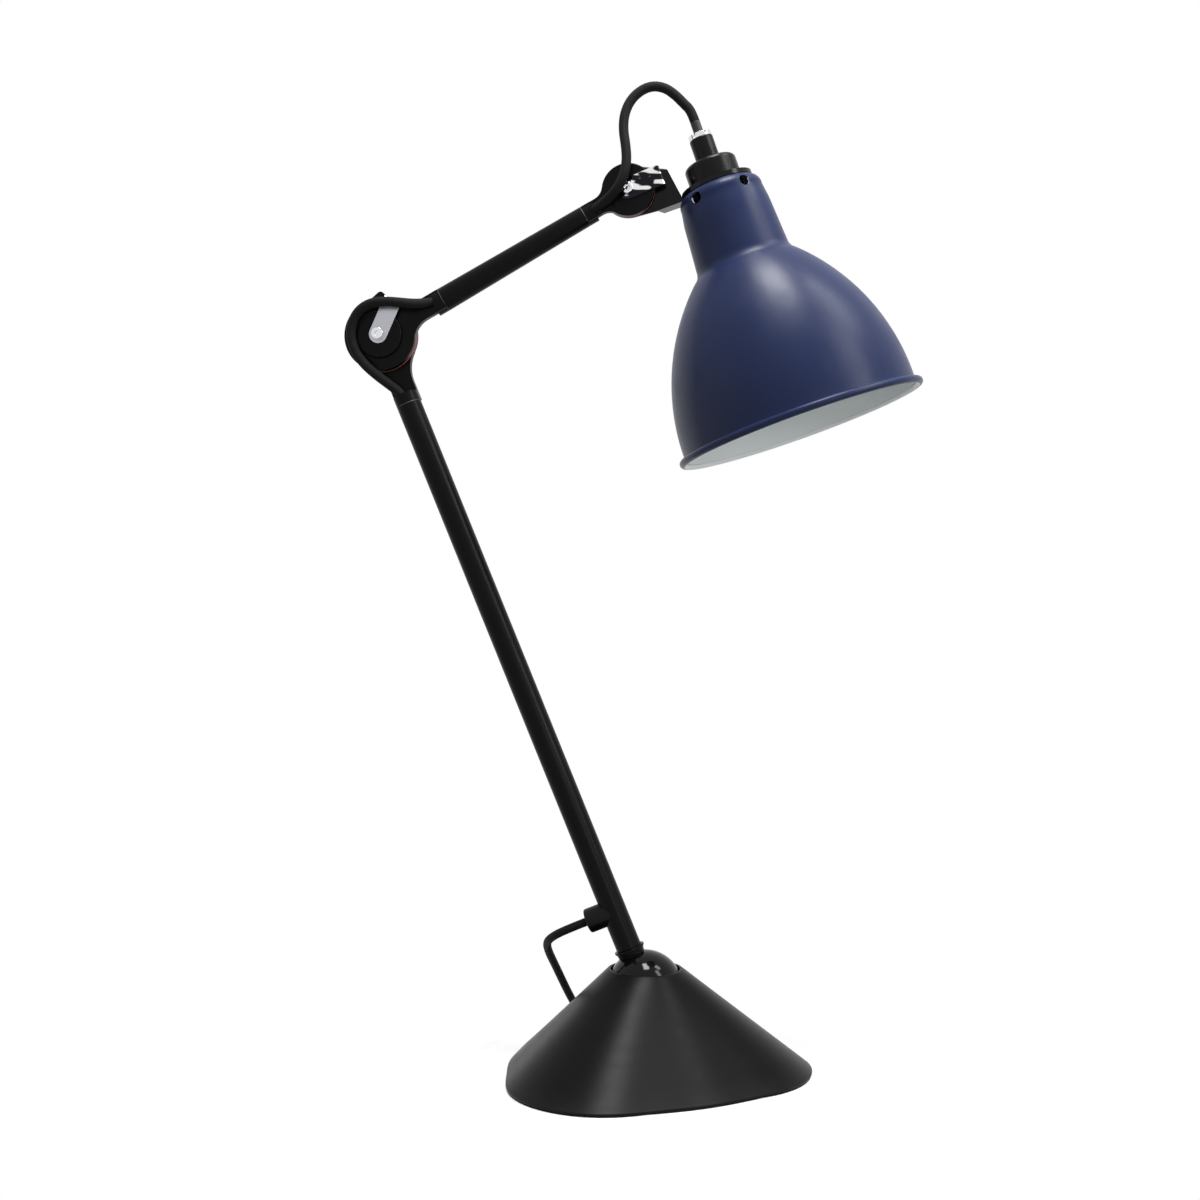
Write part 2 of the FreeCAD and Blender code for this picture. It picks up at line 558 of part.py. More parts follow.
def make_upper_arm():
    """Modelled along +Z from the elbow; local -X is the arm's upper side."""
    end = UPPER_LENGTH - UPPER_SHORT
    span = end - UPPER_START
    outer = Part.makeCone(UPPER_R1, UPPER_R2, span, V(0, 0, UPPER_START))
    inner = Part.makeCone(UPPER_BORE_R1, UPPER_BORE_R2, span, V(0, 0, UPPER_START))
    keep("upper_tube", stand(outer.cut(inner), ELBOW, UPPER_LEAN))

    rim = -(HALF_WASHER + ELBOW_PLATE_T)
    plate = rounded(disc(ELBOW_R, rim, -HALF_WASHER), ELBOW_EDGE, edge_at_y(rim))
    boss = rounded(disc(ELBOW_BOSS_R, ELBOW_FRONT, rim + 1), ELBOW_EDGE, edge_at_y(ELBOW_FRONT))
    web = neck(UPPER_START, UPPER_BORE_R1, UPPER_BORE_R1, ELBOW_R, UPPER_NECK_FILLET, CORD_SIDE_FILLET,
               rim, -HALF_WASHER)
    web.rotate(V(0, 0, 0), Y_AXIS, 180)
    plug = cone_plug(UPPER_BORE_R1, UPPER_BORE_R2, UPPER_START, end, UPPER_START, UPPER_START + PLUG_DEPTH)
    cord_way = Part.makeCylinder(FERRULE_R, 60, V(0, ELBOW_CORD_Y, UPPER_START - 20))
    barrel = rod(UPPER_R1, UPPER_START - BARREL, UPPER_START)
    fitting = plate.fuse(boss).fuse(web).fuse(plug.cut(cord_way)).fuse(barrel).cut(screw_hole())
    fitting = stand(fitting.removeSplitter(), ELBOW, UPPER_LEAN)
    keep("upper_elbow_fitting", fitting.cut(cord_groove(elbow_route()[-6:])))

    rim = WRIST_FRONT
    plate = rounded(disc(WRIST_R, rim, -HALF_WASHER), ELBOW_EDGE, edge_at_y(rim))
    web = neck(UPPER_SHORT, UPPER_BORE_R2, UPPER_BORE_R2, WRIST_R, WRIST_NECK_FILLET, WRIST_NECK_FILLET,
               rim, -HALF_WASHER)
    fitting = plate.fuse(web)
    fitting.translate(V(0, 0, UPPER_LENGTH))
    plug = cone_plug(UPPER_BORE_R1, UPPER_BORE_R2, UPPER_START, end, end - PLUG_DEPTH, end)
    cord_way = Part.makeCylinder(FERRULE_R, 60, V(0, WRIST_CORD_Y, end - 30))
    hole = screw_hole()
    hole.translate(V(0, 0, UPPER_LENGTH))
    fitting = fitting.fuse(plug.cut(cord_way)).fuse(rod(UPPER_R2, end, end + BARREL)).cut(hole)
    keep("wrist_fitting", stand(fitting.removeSplitter(), ELBOW, UPPER_LEAN).cut(cord_groove(head_route()[:6])))


def cone_plug(r1, r2, low, high, start, end):
    """The slice of a tapered bore between two heights, a hair under its size."""
    def radius(z):
        return r1 + (r2 - r1) * (z - low) / (high - low) - PLUG_FIT
    return Part.makeCone(radius(start), radius(end), end - start, V(0, 0, start))


# ================================================================ head
def make_bracket():
    """Bent sheet: upright cheek behind the wrist, level ring round the lampholder."""
    near, far = HALF_WASHER, HALF_WASHER + BRACKET_T
    top = V(BRACKET_WEB_TOP_X, near, BRACKET_WEB_TOP_Z)
    foot = -RING_DROP
    centre = V(WRIST_X, near, WRIST_Z)
    gap = (top - centre)
    lift = atan2(gap.z, gap.x) + acos(WRIST_R / gap.Length)
    on_top = centre + V(cos(lift), 0, sin(lift)) * WRIST_R
    low = V(BRACKET_TAB_X, near, foot - RING_T)
    gap = low - centre
    dip = atan2(gap.z, gap.x) - acos(WRIST_R / gap.Length)
    on_low = centre + V(cos(dip), 0, sin(dip)) * WRIST_R
    outline = [centre, on_top, top, V(BRACKET_WEB_END, near, foot - RING_T), low, on_low, centre]
    cheek = Part.Face(Part.makePolygon(outline)).extrude(V(0, BRACKET_T, 0))
    cheek = cheek.fuse(disc(WRIST_R, near, far, WRIST_X, WRIST_Z))
    tab = [V(BRACKET_TAB_X, near, 0), V(BRACKET_TAB_X + 4, BRACKET_TAB_DEPTH, 0),
           V(-RING_R * 0.77, RING_R * 0.64, 0), V(-NIPPLE_R - 3, near, 0), V(BRACKET_TAB_X, near, 0)]
    tab = Part.Face(Part.makePolygon(tab)).extrude(V(0, 0, RING_T))
    ring = rod(RING_R, 0, RING_T).fuse(tab)
    ring.translate(V(0, 0, foot - RING_T))
    bracket = cheek.fuse(ring).cut(rod(NIPPLE_R, -5, 5))
    hole = disc(SCREW_R + SCREW_FIT, -60, 60, WRIST_X, WRIST_Z)
    bracket = bracket.cut(hole).removeSplitter()
    bend = [edge for edge in bracket.Edges if edge.BoundBox.ZMax < foot - RING_T + 1e-3
            and abs(edge.BoundBox.YMin - near) < 1e-3 and abs(edge.BoundBox.YMax - near) < 1e-3
            and edge.BoundBox.XMin < BRACKET_TAB_X + 0.1 and edge.BoundBox.XLength > 5]
    if bend:
        bracket = bracket.makeFillet(0.8, bend)
    keep("head_bracket", stand(bracket, CROWN, HEAD_LEAN))
    return foot - RING_T


def shade_profile(offset):
    """Crown-to-lip curve of the shade, moved in by `offset`, as edges from the top down."""
    def at(radius, depth):
        return V(radius - offset, 0, -depth)
    crown = [at(NECK_TOP_R, 0), at(NECK_SHOULDER_R - 1.2, 2.3), at(NECK_SHOULDER_R, NECK_SHOULDER)]
    waist = [at(NECK_R, NECK_BELOW_SHOULDER), at(NECK_FOOT_R, NECK_FOOT)]
    hollow = [waist[-1], at(NECK_FOOT_R + 0.9, NECK_FOOT + 3.9), at(BELL_START_R, BELL_START)]
    bell = [at(BELL_START_R, BELL_START), at(BELL_MID_R, BELL_MID), at(BELL_LIP_R, BELL_LIP)]
    return crown, waist, hollow, bell


def shade_edges(offset):
    crown, waist, hollow, bell = shade_profile(offset)
    return [arc(*crown), Part.makeLine(crown[-1], waist[0]), Part.makeLine(waist[0], waist[1]),
            arc(*hollow), arc(*bell)]


def make_head():
    top = make_bracket()
    lip, brim = V(BELL_LIP_R, 0, -BELL_LIP), V(NECK_TOP_R, 0, 0)
    inward = V(SHADE_WALL, 0, 0)
    outline = shade_edges(0) + [Part.makeLine(lip, lip - inward)]
    outline += shade_edges(SHADE_WALL) + [Part.makeLine(brim - inward, brim)]
    shell = revolve(outline)
    crown = rod(NECK_TOP_R, -SHADE_WALL - 0.2, 0).cut(rod(NIPPLE_R, -9, 9))
    bead = Part.makeTorus(BELL_LIP_R + BEAD_OUT, BEAD_R, V(0, 0, -BELL_LIP))
    shade = shell.fuse(crown).fuse(bead)
    shade.translate(V(0, 0, top))
    for k in range(VENT_COUNT):
        turn = radians(VENT_START + 360 / VENT_COUNT * k)
        seat = V(VENT_PITCH_R * cos(turn), VENT_PITCH_R * sin(turn), top - VENT_DROP)
        out = V(cos(turn), sin(turn), VENT_RISE).normalize()
        shade = shade.cut(Part.makeCylinder(VENT_R, 12, seat - out * 6, out))
    keep("shade", stand(shade, CROWN, HEAD_LEAN))

    foot = top + RING_T
    skirt = rounded(rod(HOLDER_R, foot, HOLDER_TOP), HOLDER_ROUND, flat_edge_at(HOLDER_TOP))
    well = rod(HOLDER_R - SOCKET_WALL, foot, HOLDER_TOP - 2 * SOCKET_WALL)
    skirt = skirt.cut(well).cut(rod(NIPPLE_R, foot, HOLDER_TOP + 1))
    keep("holder_skirt", stand(skirt, CROWN, HEAD_LEAN))

    cap_top = HOLDER_TOP + CAP_H
    cap = rounded(rod(CAP_R, HOLDER_TOP, cap_top), 0.6, flat_edge_at(cap_top))
    keep("holder_cap", stand(cap.cut(rod(SLEEVE_R, HOLDER_TOP, cap_top + 1)), CROWN, HEAD_LEAN))

    crown_nut = tube(CROWN_R, SLEEVE_R, cap_top, cap_top + CROWN_H)
    for k in range(CROWN_SLOTS):
        slot = Part.makeBox(CROWN_R * 2, 1.8, CROWN_H, V(CROWN_R * 0.62, -0.9, cap_top + CROWN_H * 0.45))
        slot.rotate(V(0, 0, 0), Z_AXIS, 360 / CROWN_SLOTS * k)
        crown_nut = crown_nut.cut(slot)
    keep("crown_nut", stand(crown_nut, CROWN, HEAD_LEAN))
    sleeve = rod(SLEEVE_R, HOLDER_TOP, cap_top + CROWN_H + SLEEVE_H)
    keep("cord_sleeve", stand(sleeve, CROWN, HEAD_LEAN))

    # inside the shade
    ceiling = top - SHADE_WALL - 0.2
    nipple = rod(NIPPLE_R, ceiling - 6, HOLDER_TOP - 2 * SOCKET_WALL)
    barrel_top = ceiling - SHADE_RING_T
    ring = tube(SHADE_RING_R - 3, NIPPLE_R, barrel_top, ceiling)
    keep("shade_ring", stand(ring, CROWN, HEAD_LEAN))
    barrel = rod(SOCKET_R, barrel_top - SOCKET_LENGTH, barrel_top)
    well = rod(SOCKET_R - SOCKET_WALL, barrel_top - SOCKET_LENGTH, barrel_top - 2 * SOCKET_WALL)
    keep("socket_barrel", stand(barrel.cut(well).fuse(nipple.cut(
        rod(NIPPLE_R - 1.5, ceiling - 30, HOLDER_TOP))), CROWN, HEAD_LEAN))

    cap_top = barrel_top - 2 * SOCKET_WALL
    cap_foot = cap_top - BULB_CAP_LENGTH
    centre = cap_foot - BULB_NECK - BULB_R
    touch = sqrt(BULB_R ** 2 - (BULB_R * 0.62) ** 2)
    glass = [V(0, 0, cap_foot), V(BULB_CAP_R, 0, cap_foot), V(BULB_R * 0.62, 0, centre + touch)]
    outline = chain(glass) + [arc(glass[-1], V(BULB_R, 0, centre), V(0, 0, centre - BULB_R))]
    outline += [Part.makeLine(V(0, 0, centre - BULB_R), glass[0])]
    keep("bulb_glass", stand(revolve(outline), CROWN, HEAD_LEAN))
    keep("bulb_cap", stand(rod(BULB_CAP_R, cap_foot, cap_top), CROWN, HEAD_LEAN))
    liner = tube(SOCKET_R - SOCKET_WALL, BULB_CAP_R, cap_foot + 3, cap_top)
    keep("socket_insert", stand(liner, CROWN, HEAD_LEAN))


# ================================================================ cords
def corner_arc(before, point, after, run):
    """Largest arc that two runs allow at a point: its edge, ends and radius."""
    into = (point - before).normalize()
    out = (after - point).normalize()
    turn = acos(max(-1.0, min(1.0, into.dot(out))))
    take = 0.45 * run
    radius = take / tan(turn / 2)
    start, end = point - into * take, point + out * take
    inward = (out - into).normalize()
    middle = point + inward * (radius / cos(turn / 2) - radius)
    return arc(start, middle, end), start, end, radius, degrees(turn)


def route(points):
    """Runs and arcs through the points, grouped at each inner point."""
    runs = [(b - a).Length for a, b in zip(points, points[1:])]
    groups, radii = [], []
    for k in range(1, len(points) - 1):
        bend, start, end, radius, _ = corner_arc(
            points[k - 1], points[k], points[k + 1], min(runs[k - 1], runs[k]))
        before = points[k - 1] if k == 1 else (points[k - 1] + points[k]) * 0.5
        after = points[k + 1] if k == len(points) - 2 else (points[k] + points[k + 1]) * 0.5
        groups.append([Part.makeLine(before, start), bend, Part.makeLine(end, after)])
        radii.append(radius)
    return groups, radii


def sweep(edges, radius):
    """Round tube along a path."""
    path = Part.Wire(edges)
    begin = path.Edges[0]
    start = begin.valueAt(begin.FirstParameter)
    aim = begin.tangentAt(begin.FirstParameter)
    section = Part.Wire([Part.makeCircle(radius, start, aim)])
    solid = path.makePipeShell([section], True, False)
    if solid.Volume < 0:
        solid.reverse()
    return solid, path.Length


def report_cord(name, solid, length, radius, radii):
    share = solid.Volume / (pi * radius ** 2 * length)
    tight = min(radii) if radii else 0.0
    print("cord %s length %.1f volume share %.4f least radius %.1f (%.1f diameters)"
          % (name, length, share, tight, tight / (2 * radius)))


def make_cord(nodes, points, radius):
    """One cord as one or more end-to-end nodes; `nodes` gives (name, inner points)."""
    groups, radii = route(points)
    at, total = 0, 0.0
    for name, count in nodes:
        edges = [edge for group in groups[at:at + count] for edge in group]
        solid, length = sweep(edges, radius)
        report_cord(name, solid, length, radius, radii[at:at + count])
        keep(name, solid)
        at += count
        total += length
    return total


LOWER_MOUTH = ELBOW - heading(LOWER_LEAN) * LOWER_SHORT + V(0, LOWER_CORD_Y, 0)
LOWER_AIM = V(sin(radians(LOWER_LEAN - 12)), -0.12, cos(radians(LOWER_LEAN - 12))).normalize()
UPPER_MOUTH = ELBOW + heading(UPPER_LEAN) * UPPER_START + V(0, ELBOW_CORD_Y, 0)
UPPER_AIM = V(sin(radians(UPPER_LEAN + 12)), 0.2, cos(radians(UPPER_LEAN + 12))).normalize()
WRIST_MOUTH = ELBOW + heading(UPPER_LEAN) * (UPPER_LENGTH - UPPER_SHORT) + V(0, WRIST_CORD_Y, 0)
WRIST_AIM = V(sin(radians(UPPER_LEAN)), -0.3, cos(radians(UPPER_LEAN))).normalize()
SLEEVE_TOP = HOLDER_TOP + CAP_H + CROWN_H + SLEEVE_H


def make_ferrule(name, mouth, aim):
    """Thin sleeve on the cord where it enters a tube."""
    start = mouth - aim * FERRULE_SUNK
    ring = Part.makeCylinder(FERRULE_R, FERRULE_LENGTH, start, aim)
    keep(name, ring.cut(Part.makeCylinder(ARM_CORD_R, FERRULE_LENGTH, start, aim)))


def elbow_route():
    """The cord's points round the elbow's front, out of one arm and into the other."""
    return [
        LOWER_MOUTH - LOWER_AIM * FERRULE_SUNK, LOWER_MOUTH + LOWER_AIM * 7,
        *(ELBOW + V(*offset) for offset in ELBOW_LOOP),
        UPPER_MOUTH - UPPER_AIM * 7.5, UPPER_MOUTH + UPPER_AIM * FERRULE_SUNK]


def head_route():
    """The cord's points in a tall loop from the wrist to the lampholder's top."""
    end = CROWN + HEAD_UP * SLEEVE_TOP
    return [
        WRIST_MOUTH - WRIST_AIM * FERRULE_SUNK, WRIST_MOUTH + WRIST_AIM * 8,
        *(WRIST + V(*offset) for offset in HEAD_LOOP),
        end + HEAD_UP * 7, end]


def cord_groove(points):
    """The room that these few points of an arm cord need in the casting beside them."""
    groups, _ = route(points)
    solid, _ = sweep([edge for group in groups for edge in group], FERRULE_R + PLUG_FIT)
    return solid


def make_arm_cords():
    """Braided cords that cross the elbow and the wrist; points chosen from the photograph."""
    for name, points in (("elbow_cord", elbow_route()), ("head_cord", head_route())):
        make_cord([(name, len(points) - 2)], points, ARM_CORD_R)
    make_ferrule("lower_ferrule", LOWER_MOUTH, LOWER_AIM)
    make_ferrule("upper_ferrule", UPPER_MOUTH, UPPER_AIM * -1)
    make_ferrule("wrist_ferrule", WRIST_MOUTH, WRIST_AIM)


def biarc(p0, t0, p1, t1):
    """Two tangent arcs from p0 along t0 to p1 along t1."""
    v, t = p1 - p0, t0 + t1
    a = 2 * (1 - t0.dot(t1))
    b = 2 * v.dot(t)
    reach = (-b + sqrt(b * b + 4 * a * v.dot(v))) / (2 * a)
    joint = (p0 + p1 + (t0 - t1) * reach) * 0.5
    return [tangent_arc(p0, t0, joint), tangent_arc(p1, t1 * -1, joint, True)]


def tangent_arc(start, aim, end, flip=False):
    chord = end - start
    half = chord.Length / 2
    lean = acos(max(-1.0, min(1.0, aim.dot(chord) / chord.Length)))
    bulge = (aim - chord * (aim.dot(chord) / chord.Length ** 2)).normalize() * (half * tan(lean / 2))
    middle = (start + end) * 0.5 + bulge
    return arc(end, middle, start) if flip else arc(start, middle, end)


CLIMB_TURNS = 0.5                # the cord climbs to the upper layer in half a turn
COIL_TOTAL = 2 * COIL_TURNS + ((COIL_START - COIL_END) / 360) % 1


def coil_point(turns):
    """Centreline of the coil after `turns`: in, up a layer as it reverses, out again."""
    middle = COIL_TURNS + CLIMB_TURNS / 2
    inward = min(turns, 2 * middle - turns)
    radius = COIL_MEAN_R + COIL_PITCH * (COIL_TURNS / 2 - inward)
    rise = min(1.0, max(0.0, (turns - COIL_TURNS) / CLIMB_TURNS))
    place = polar(radius, COIL_START - 360 * turns, MAINS_R + COIL_PITCH * rise)
    return V(COIL_X, COIL_Y, 0) + place


def coil_tangent(turns):
    step = 1e-4
    return (coil_point(turns + step) - coil_point(turns - step)).normalize()


def make_coil():
    """Unseen length of the cord, wound by hand into a flat two-layer coil."""
    stops = [k * 0.25 for k in range(int(COIL_TOTAL / 0.25) + 1)] + [COIL_TOTAL]
    edges = []
    for a, b in zip(stops, stops[1:]):
        edges += biarc(coil_point(a), coil_tangent(a), coil_point(b), coil_tangent(b))
    begin, finish = coil_point(0), coil_point(COIL_TOTAL)
    lead, trail = coil_tangent(0), coil_tangent(COIL_TOTAL)
    straight = 2 * MAINS_R
    edges = [Part.makeLine(begin - lead * straight, begin)] + edges
    edges += [Part.makeLine(finish, finish + trail * straight)]
    solid, length = sweep(edges, MAINS_R)
    keep("mains_coil", solid)
    samples = [coil_point(k / 48) for k in range(int(COIL_TOTAL * 48) + 1)]
    least = min((samples[i] - samples[j]).Length
                for i in range(len(samples)) for j in range(i + 24, len(samples))) - 2 * MAINS_R
    print("coil turns %.2f, least gap between them %.2f" % (COIL_TOTAL, least))
    inner = COIL_MEAN_R - COIL_PITCH * (COIL_TURNS + CLIMB_TURNS) / 2
    report_cord("mains_coil", solid, length, MAINS_R, [inner])
    return begin - lead * straight, lead, finish + trail * straight, trail, length


def make_mains():
    """Cord to the wall: outlet, round the back of the base, coil and plug."""
    side = heading(LOWER_LEAN - 90)
    leave = BALL + heading(LOWER_LEAN) * OUTLET_Z + side * (LOWER_R + OUTLET_REACH)
    coil_in, lead, coil_out, trail, coil_length = make_coil()
    drop = [leave, leave + side * 14, V(-56.5, 6.5, 75.0), V(-61.5, 19.5, 68.5), V(-62.0, 34.5, 59.5),
            V(-60.5, 49.5, 49.0), V(-58.5, 64.0, 37.5), V(-56.0, 77.5, 25.5), V(-53.0, 88.0, 15.0),
            V(-50.6, 98.4, 6.6), coil_in - lead * 15, coil_in]
    total = make_cord([("mains_drop_top", 3), ("mains_drop_mid", 2), ("mains_drop_foot", 3),
                       ("mains_lay", 2)], drop, MAINS_R)
    plug_z = MAINS_R * 2 + COIL_PITCH + PLUG_W / 2
    aim = V(-1, -0.06, 0).normalize()
    gland = V(COIL_X + 18.0, COIL_Y - 25.4, plug_z)
    tail = [coil_out, coil_out + trail * 7, V(30.8, COIL_Y - 13.4, 11.0), V(25.2, COIL_Y - 21.0, 14.6),
            gland - aim * 8.4, gland]
    total += make_cord([("mains_tail", len(tail) - 2)], tail, MAINS_R) + coil_length
    print("mains cord, outlet to plug: %.0f mm" % total)
    make_plug(gland, aim)


def make_plug(gland, aim):
    """Flat two-pin plug, lying on the coil."""
    across = V(-aim.y, aim.x, 0)

    def section(distance, width, height):
        centre = gland + aim * distance
        radius = height / 2
        half = width / 2 - radius
        up = Z_AXIS * radius
        a, b = centre + across * half, centre - across * half
        edges = [Part.makeLine(b + up, a + up), arc(a + up, a + across * radius, a - up),
                 Part.makeLine(a - up, b - up), arc(b - up, b - across * radius, b + up)]
        return Part.Wire(edges)
    body = Part.makeLoft([section(0, 9.0, 8.0), section(10, 20.0, 12.0),
                          section(PLUG_LENGTH - 12, PLUG_NOSE_W, PLUG_W),
                          section(PLUG_LENGTH, PLUG_NOSE_W, PLUG_W)], True, True)
    pins = []
    for sign in (-1, 1):
        base = gland + aim * (PLUG_LENGTH - 6) + across * (sign * PIN_PITCH / 2)
        pin = Part.makeCylinder(PIN_R, PIN_LENGTH + 6 - PIN_R, base, aim)
        pin = pin.fuse(Part.makeSphere(PIN_R, base + aim * (PIN_LENGTH + 6 - PIN_R))).removeSplitter()
        pins.append(pin)
        body = body.cut(pin)
    keep("plug_body", body)
    keep("plug_pins", Part.makeCompound(pins))


make_base()
make_ball_joint()
make_lower_arm()
make_joint_hardware()
make_upper_arm()
make_head()
make_arm_cords()
make_mains()

os.makedirs("parts", exist_ok=True)
for node, shape in parts.items():
    state = "ok" if shape.isValid() else "INVALID"
    print("%-24s solids %d volume %9.1f %s" % (node, len(shape.Solids), shape.Volume, state))
    shape.exportStep("parts/%s.step" % node)
print("elbow", ELBOW, "wrist", WRIST, "crown", CROWN)
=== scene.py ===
"""A jointed desk lamp with a cone base, two arms and a bell shade, dressed for rendering.

Metres, +Z up.  The arms lie in the XZ plane.  Every section makes one piece, or a
group of like pieces, in the order in which the lamp is put together.
"""
import json
from math import atan2, copysign, cos, floor, pi, radians, sin, sqrt
import bmesh
import bpy
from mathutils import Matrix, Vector

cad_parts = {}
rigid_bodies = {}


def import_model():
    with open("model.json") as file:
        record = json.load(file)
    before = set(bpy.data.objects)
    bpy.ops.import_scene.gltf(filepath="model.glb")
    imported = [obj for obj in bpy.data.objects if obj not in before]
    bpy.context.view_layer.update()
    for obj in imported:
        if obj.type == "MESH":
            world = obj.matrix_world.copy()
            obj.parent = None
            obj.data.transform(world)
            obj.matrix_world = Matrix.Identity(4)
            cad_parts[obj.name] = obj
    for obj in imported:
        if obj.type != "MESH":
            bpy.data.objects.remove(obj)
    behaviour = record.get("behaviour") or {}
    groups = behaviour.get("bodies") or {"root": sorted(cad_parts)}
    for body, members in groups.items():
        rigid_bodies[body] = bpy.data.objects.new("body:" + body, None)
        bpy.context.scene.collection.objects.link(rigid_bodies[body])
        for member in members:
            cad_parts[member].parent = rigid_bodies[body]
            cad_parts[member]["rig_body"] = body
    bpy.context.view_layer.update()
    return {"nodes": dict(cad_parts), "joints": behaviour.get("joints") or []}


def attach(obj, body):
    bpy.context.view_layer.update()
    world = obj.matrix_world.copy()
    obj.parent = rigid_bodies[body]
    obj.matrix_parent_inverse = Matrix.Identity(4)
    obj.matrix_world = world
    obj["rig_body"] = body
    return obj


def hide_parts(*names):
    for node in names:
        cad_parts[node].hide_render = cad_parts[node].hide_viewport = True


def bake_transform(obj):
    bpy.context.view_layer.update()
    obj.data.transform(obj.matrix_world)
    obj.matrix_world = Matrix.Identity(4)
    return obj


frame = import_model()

# ---------------------------------------------------------------- camera
# The photograph is square and was taken level, from the front and a little to the
# right, with a long lens.
SENSOR = 36.0
LENS = 47.43
CAMERA_AT = (0.0708, -0.9287, 0.276)
CAMERA_YAW = 6.0

camera = bpy.data.objects.new("camera", bpy.data.cameras.new("camera"))
camera.data.sensor_width = SENSOR
camera.data.sensor_fit = "HORIZONTAL"
camera.data.lens = LENS
camera.data.clip_start = 0.01
camera.location = CAMERA_AT
camera.rotation_euler = (radians(90), 0, radians(CAMERA_YAW))
bpy.context.scene.collection.objects.link(camera)
bpy.context.scene.camera = camera


# ---------------------------------------------------------------- cords
# Limp cords of two insulated cores in a fine black textile braid.  The strands of
# the braid cross over and under each other in two opposite spirals.
MM = 0.001
STRAND = 0.75 * MM                  # width of one strand
RELIEF = 0.11 * MM                  # how far a strand stands up
RING_STEP = 0.25 * MM               # rings along a cord's mesh
BRAID_SIDES = 48
JOINTS = {joint["name"]: Vector(joint["pos_m"]) for joint in frame["joints"]}
BALL, ELBOW, WRIST = JOINTS["ball_tilt"], JOINTS["elbow"], JOINTS["wrist"]
LOWER_AXIS = (ELBOW - BALL).normalized()
UPPER_AXIS = (WRIST - ELBOW).normalized()
Y_AXIS, Z_AXIS = Vector((0, 1, 0)), Vector((0, 0, 1))


class Wire:
    """A value on its way through a material's nodes; sums on wires add Math nodes."""

    def __init__(self, tree, socket):
        self.tree = tree
        self.socket = socket

    def node(self, kind, settings, inputs, output=0):
        """Add a node: its type, its settings, then the values or wires of its sockets."""
        made = self.tree.nodes.new("ShaderNode" + kind)
        for key, value in settings.items():
            setattr(made, key, value)
        for key, value in inputs.items():
            if isinstance(value, Wire):
                self.tree.links.new(value.socket, made.inputs[key])
            else:
                made.inputs[key].default_value = value
        return Wire(self.tree, made.outputs[output])

    def math(self, operation, a, b=0.0):
        """A Math node on two numbers or wires; some operations read the first alone."""
        return self.node("Math", {"operation": operation}, {0: a, 1: b})

    def __add__(self, other):
        return self.math("ADD", self, other)

    def __sub__(self, other):
        return self.math("SUBTRACT", self, other)

    def __rsub__(self, other):
        return self.math("SUBTRACT", other, self)

    def __mul__(self, other):
        return self.math("MULTIPLY", self, other)

    def __mod__(self, other):
        return self.math("FLOORED_MODULO", self, other)

    __radd__ = __add__
    __rmul__ = __mul__

    def ease(self, low, high):
        """0 below `low`, 1 above `high`, smooth between them."""
        return self.node("MapRange", {"interpolation_type": "SMOOTHSTEP"},
                         {"Value": self, "From Min": low, "From Max": high})

    def noise(self, scale, detail=2.0):
        """Noise over a place, from 0 to 1."""
        return self.node("TexNoise", {}, {"Vector": self, "Scale": scale, "Detail": detail})

    def stretched(self, *scale):
        """A place with its axes drawn out, so that noise over it becomes streaks."""
        return self.node("Mapping", {}, {"Vector": self, "Scale": scale})

    def tint(self, low, high):
        """Colour that goes from `low` to `high` as this number goes from 0 to 1."""
        # Sockets 6 and 7 and output 2 are the ones that a Mix node shows for colours.
        return self.node("Mix", {"data_type": "RGBA"}, {0: self, 6: (*low, 1), 7: (*high, 1)}, 2)

    def part(self, name):
        """One of a vector's X, Y and Z."""
        return self.node("SeparateXYZ", {}, {0: self}, "XYZ".index(name))


class Finish:
    """A surface finish: a Principled shader whose own sockets hold what doesn't vary."""

    def __init__(self, name, colour, roughness, metallic=0.0, **constants):
        self.material = bpy.data.materials.new(name)
        self.material.use_nodes = True
        self.tree = self.material.node_tree
        self.shader = self.tree.nodes["Principled BSDF"]
        self.shader.inputs["Base Color"].default_value = (*colour, 1)
        self.shader.inputs["Roughness"].default_value = roughness
        self.shader.inputs["Metallic"].default_value = metallic
        for socket, value in constants.items():
            self.shader.inputs[socket.replace("_", " ")].default_value = value
        self.place = self.coordinates("Object")

    def coordinates(self, kind):
        """Where a point is, on the object or on its own unrolled skin."""
        return Wire(self.tree, self.tree.nodes.new("ShaderNodeTexCoord").outputs[kind])

    def feed(self, socket, wire):
        self.tree.links.new(wire.socket, self.shader.inputs[socket])

    def bump(self, height, depth):
        """Raise the surface by `height`, which runs from 0 to 1, times `depth`."""
        self.feed("Normal", height.node("Bump", {}, {"Height": height, "Distance": depth}))


def braid_finish(name, colour, light):
    """Two sets of strands, woven one over the other along a cord's unrolled skin, with light
    painted on the strands' crests and shade painted between them.
    """
    cloth = Finish(name, colour, 0.65, Specular_IOR_Level=0.08)
    skin = cloth.coordinates("UV")
    along, around = skin.part("X"), skin.part("Y")
    left, right = along + around, along - around
    over = (left.math("FLOOR", left) + left.math("FLOOR", right)) % 2.0
    rise_left = (left % 1.0 - 0.5).math("ABSOLUTE", left % 1.0 - 0.5)
    rise_right = (right % 1.0 - 0.5).math("ABSOLUTE", right % 1.0 - 0.5)
    rise = over * (1 - rise_left * 2.0) + (1 - over) * (1 - rise_right * 2.0)
    yarn = skin.noise(5.0, 3.0)
    # Painted light and shade: each strand's crest lighter and the valleys between strands darker,
    # mixed with random yarn tone.
    cloth.feed("Base Color", (rise * 0.7 + yarn * 0.3).tint(colour, light))
    cloth.bump(rise + yarn * 0.35, RELIEF)
    return cloth.material


SOFT_BLACK = (0.003, 0.003, 0.0035)
# The lighter colour is the painted light on the strands' crests.
braid_black = braid_finish("braid_black", SOFT_BLACK, (0.013, 0.0125, 0.013))


def evaluated(holder):
    """The mesh that an object's curve or modifiers come to."""
    depsgraph = bpy.context.evaluated_depsgraph_get()
    return bpy.data.meshes.new_from_object(holder.evaluated_get(depsgraph))


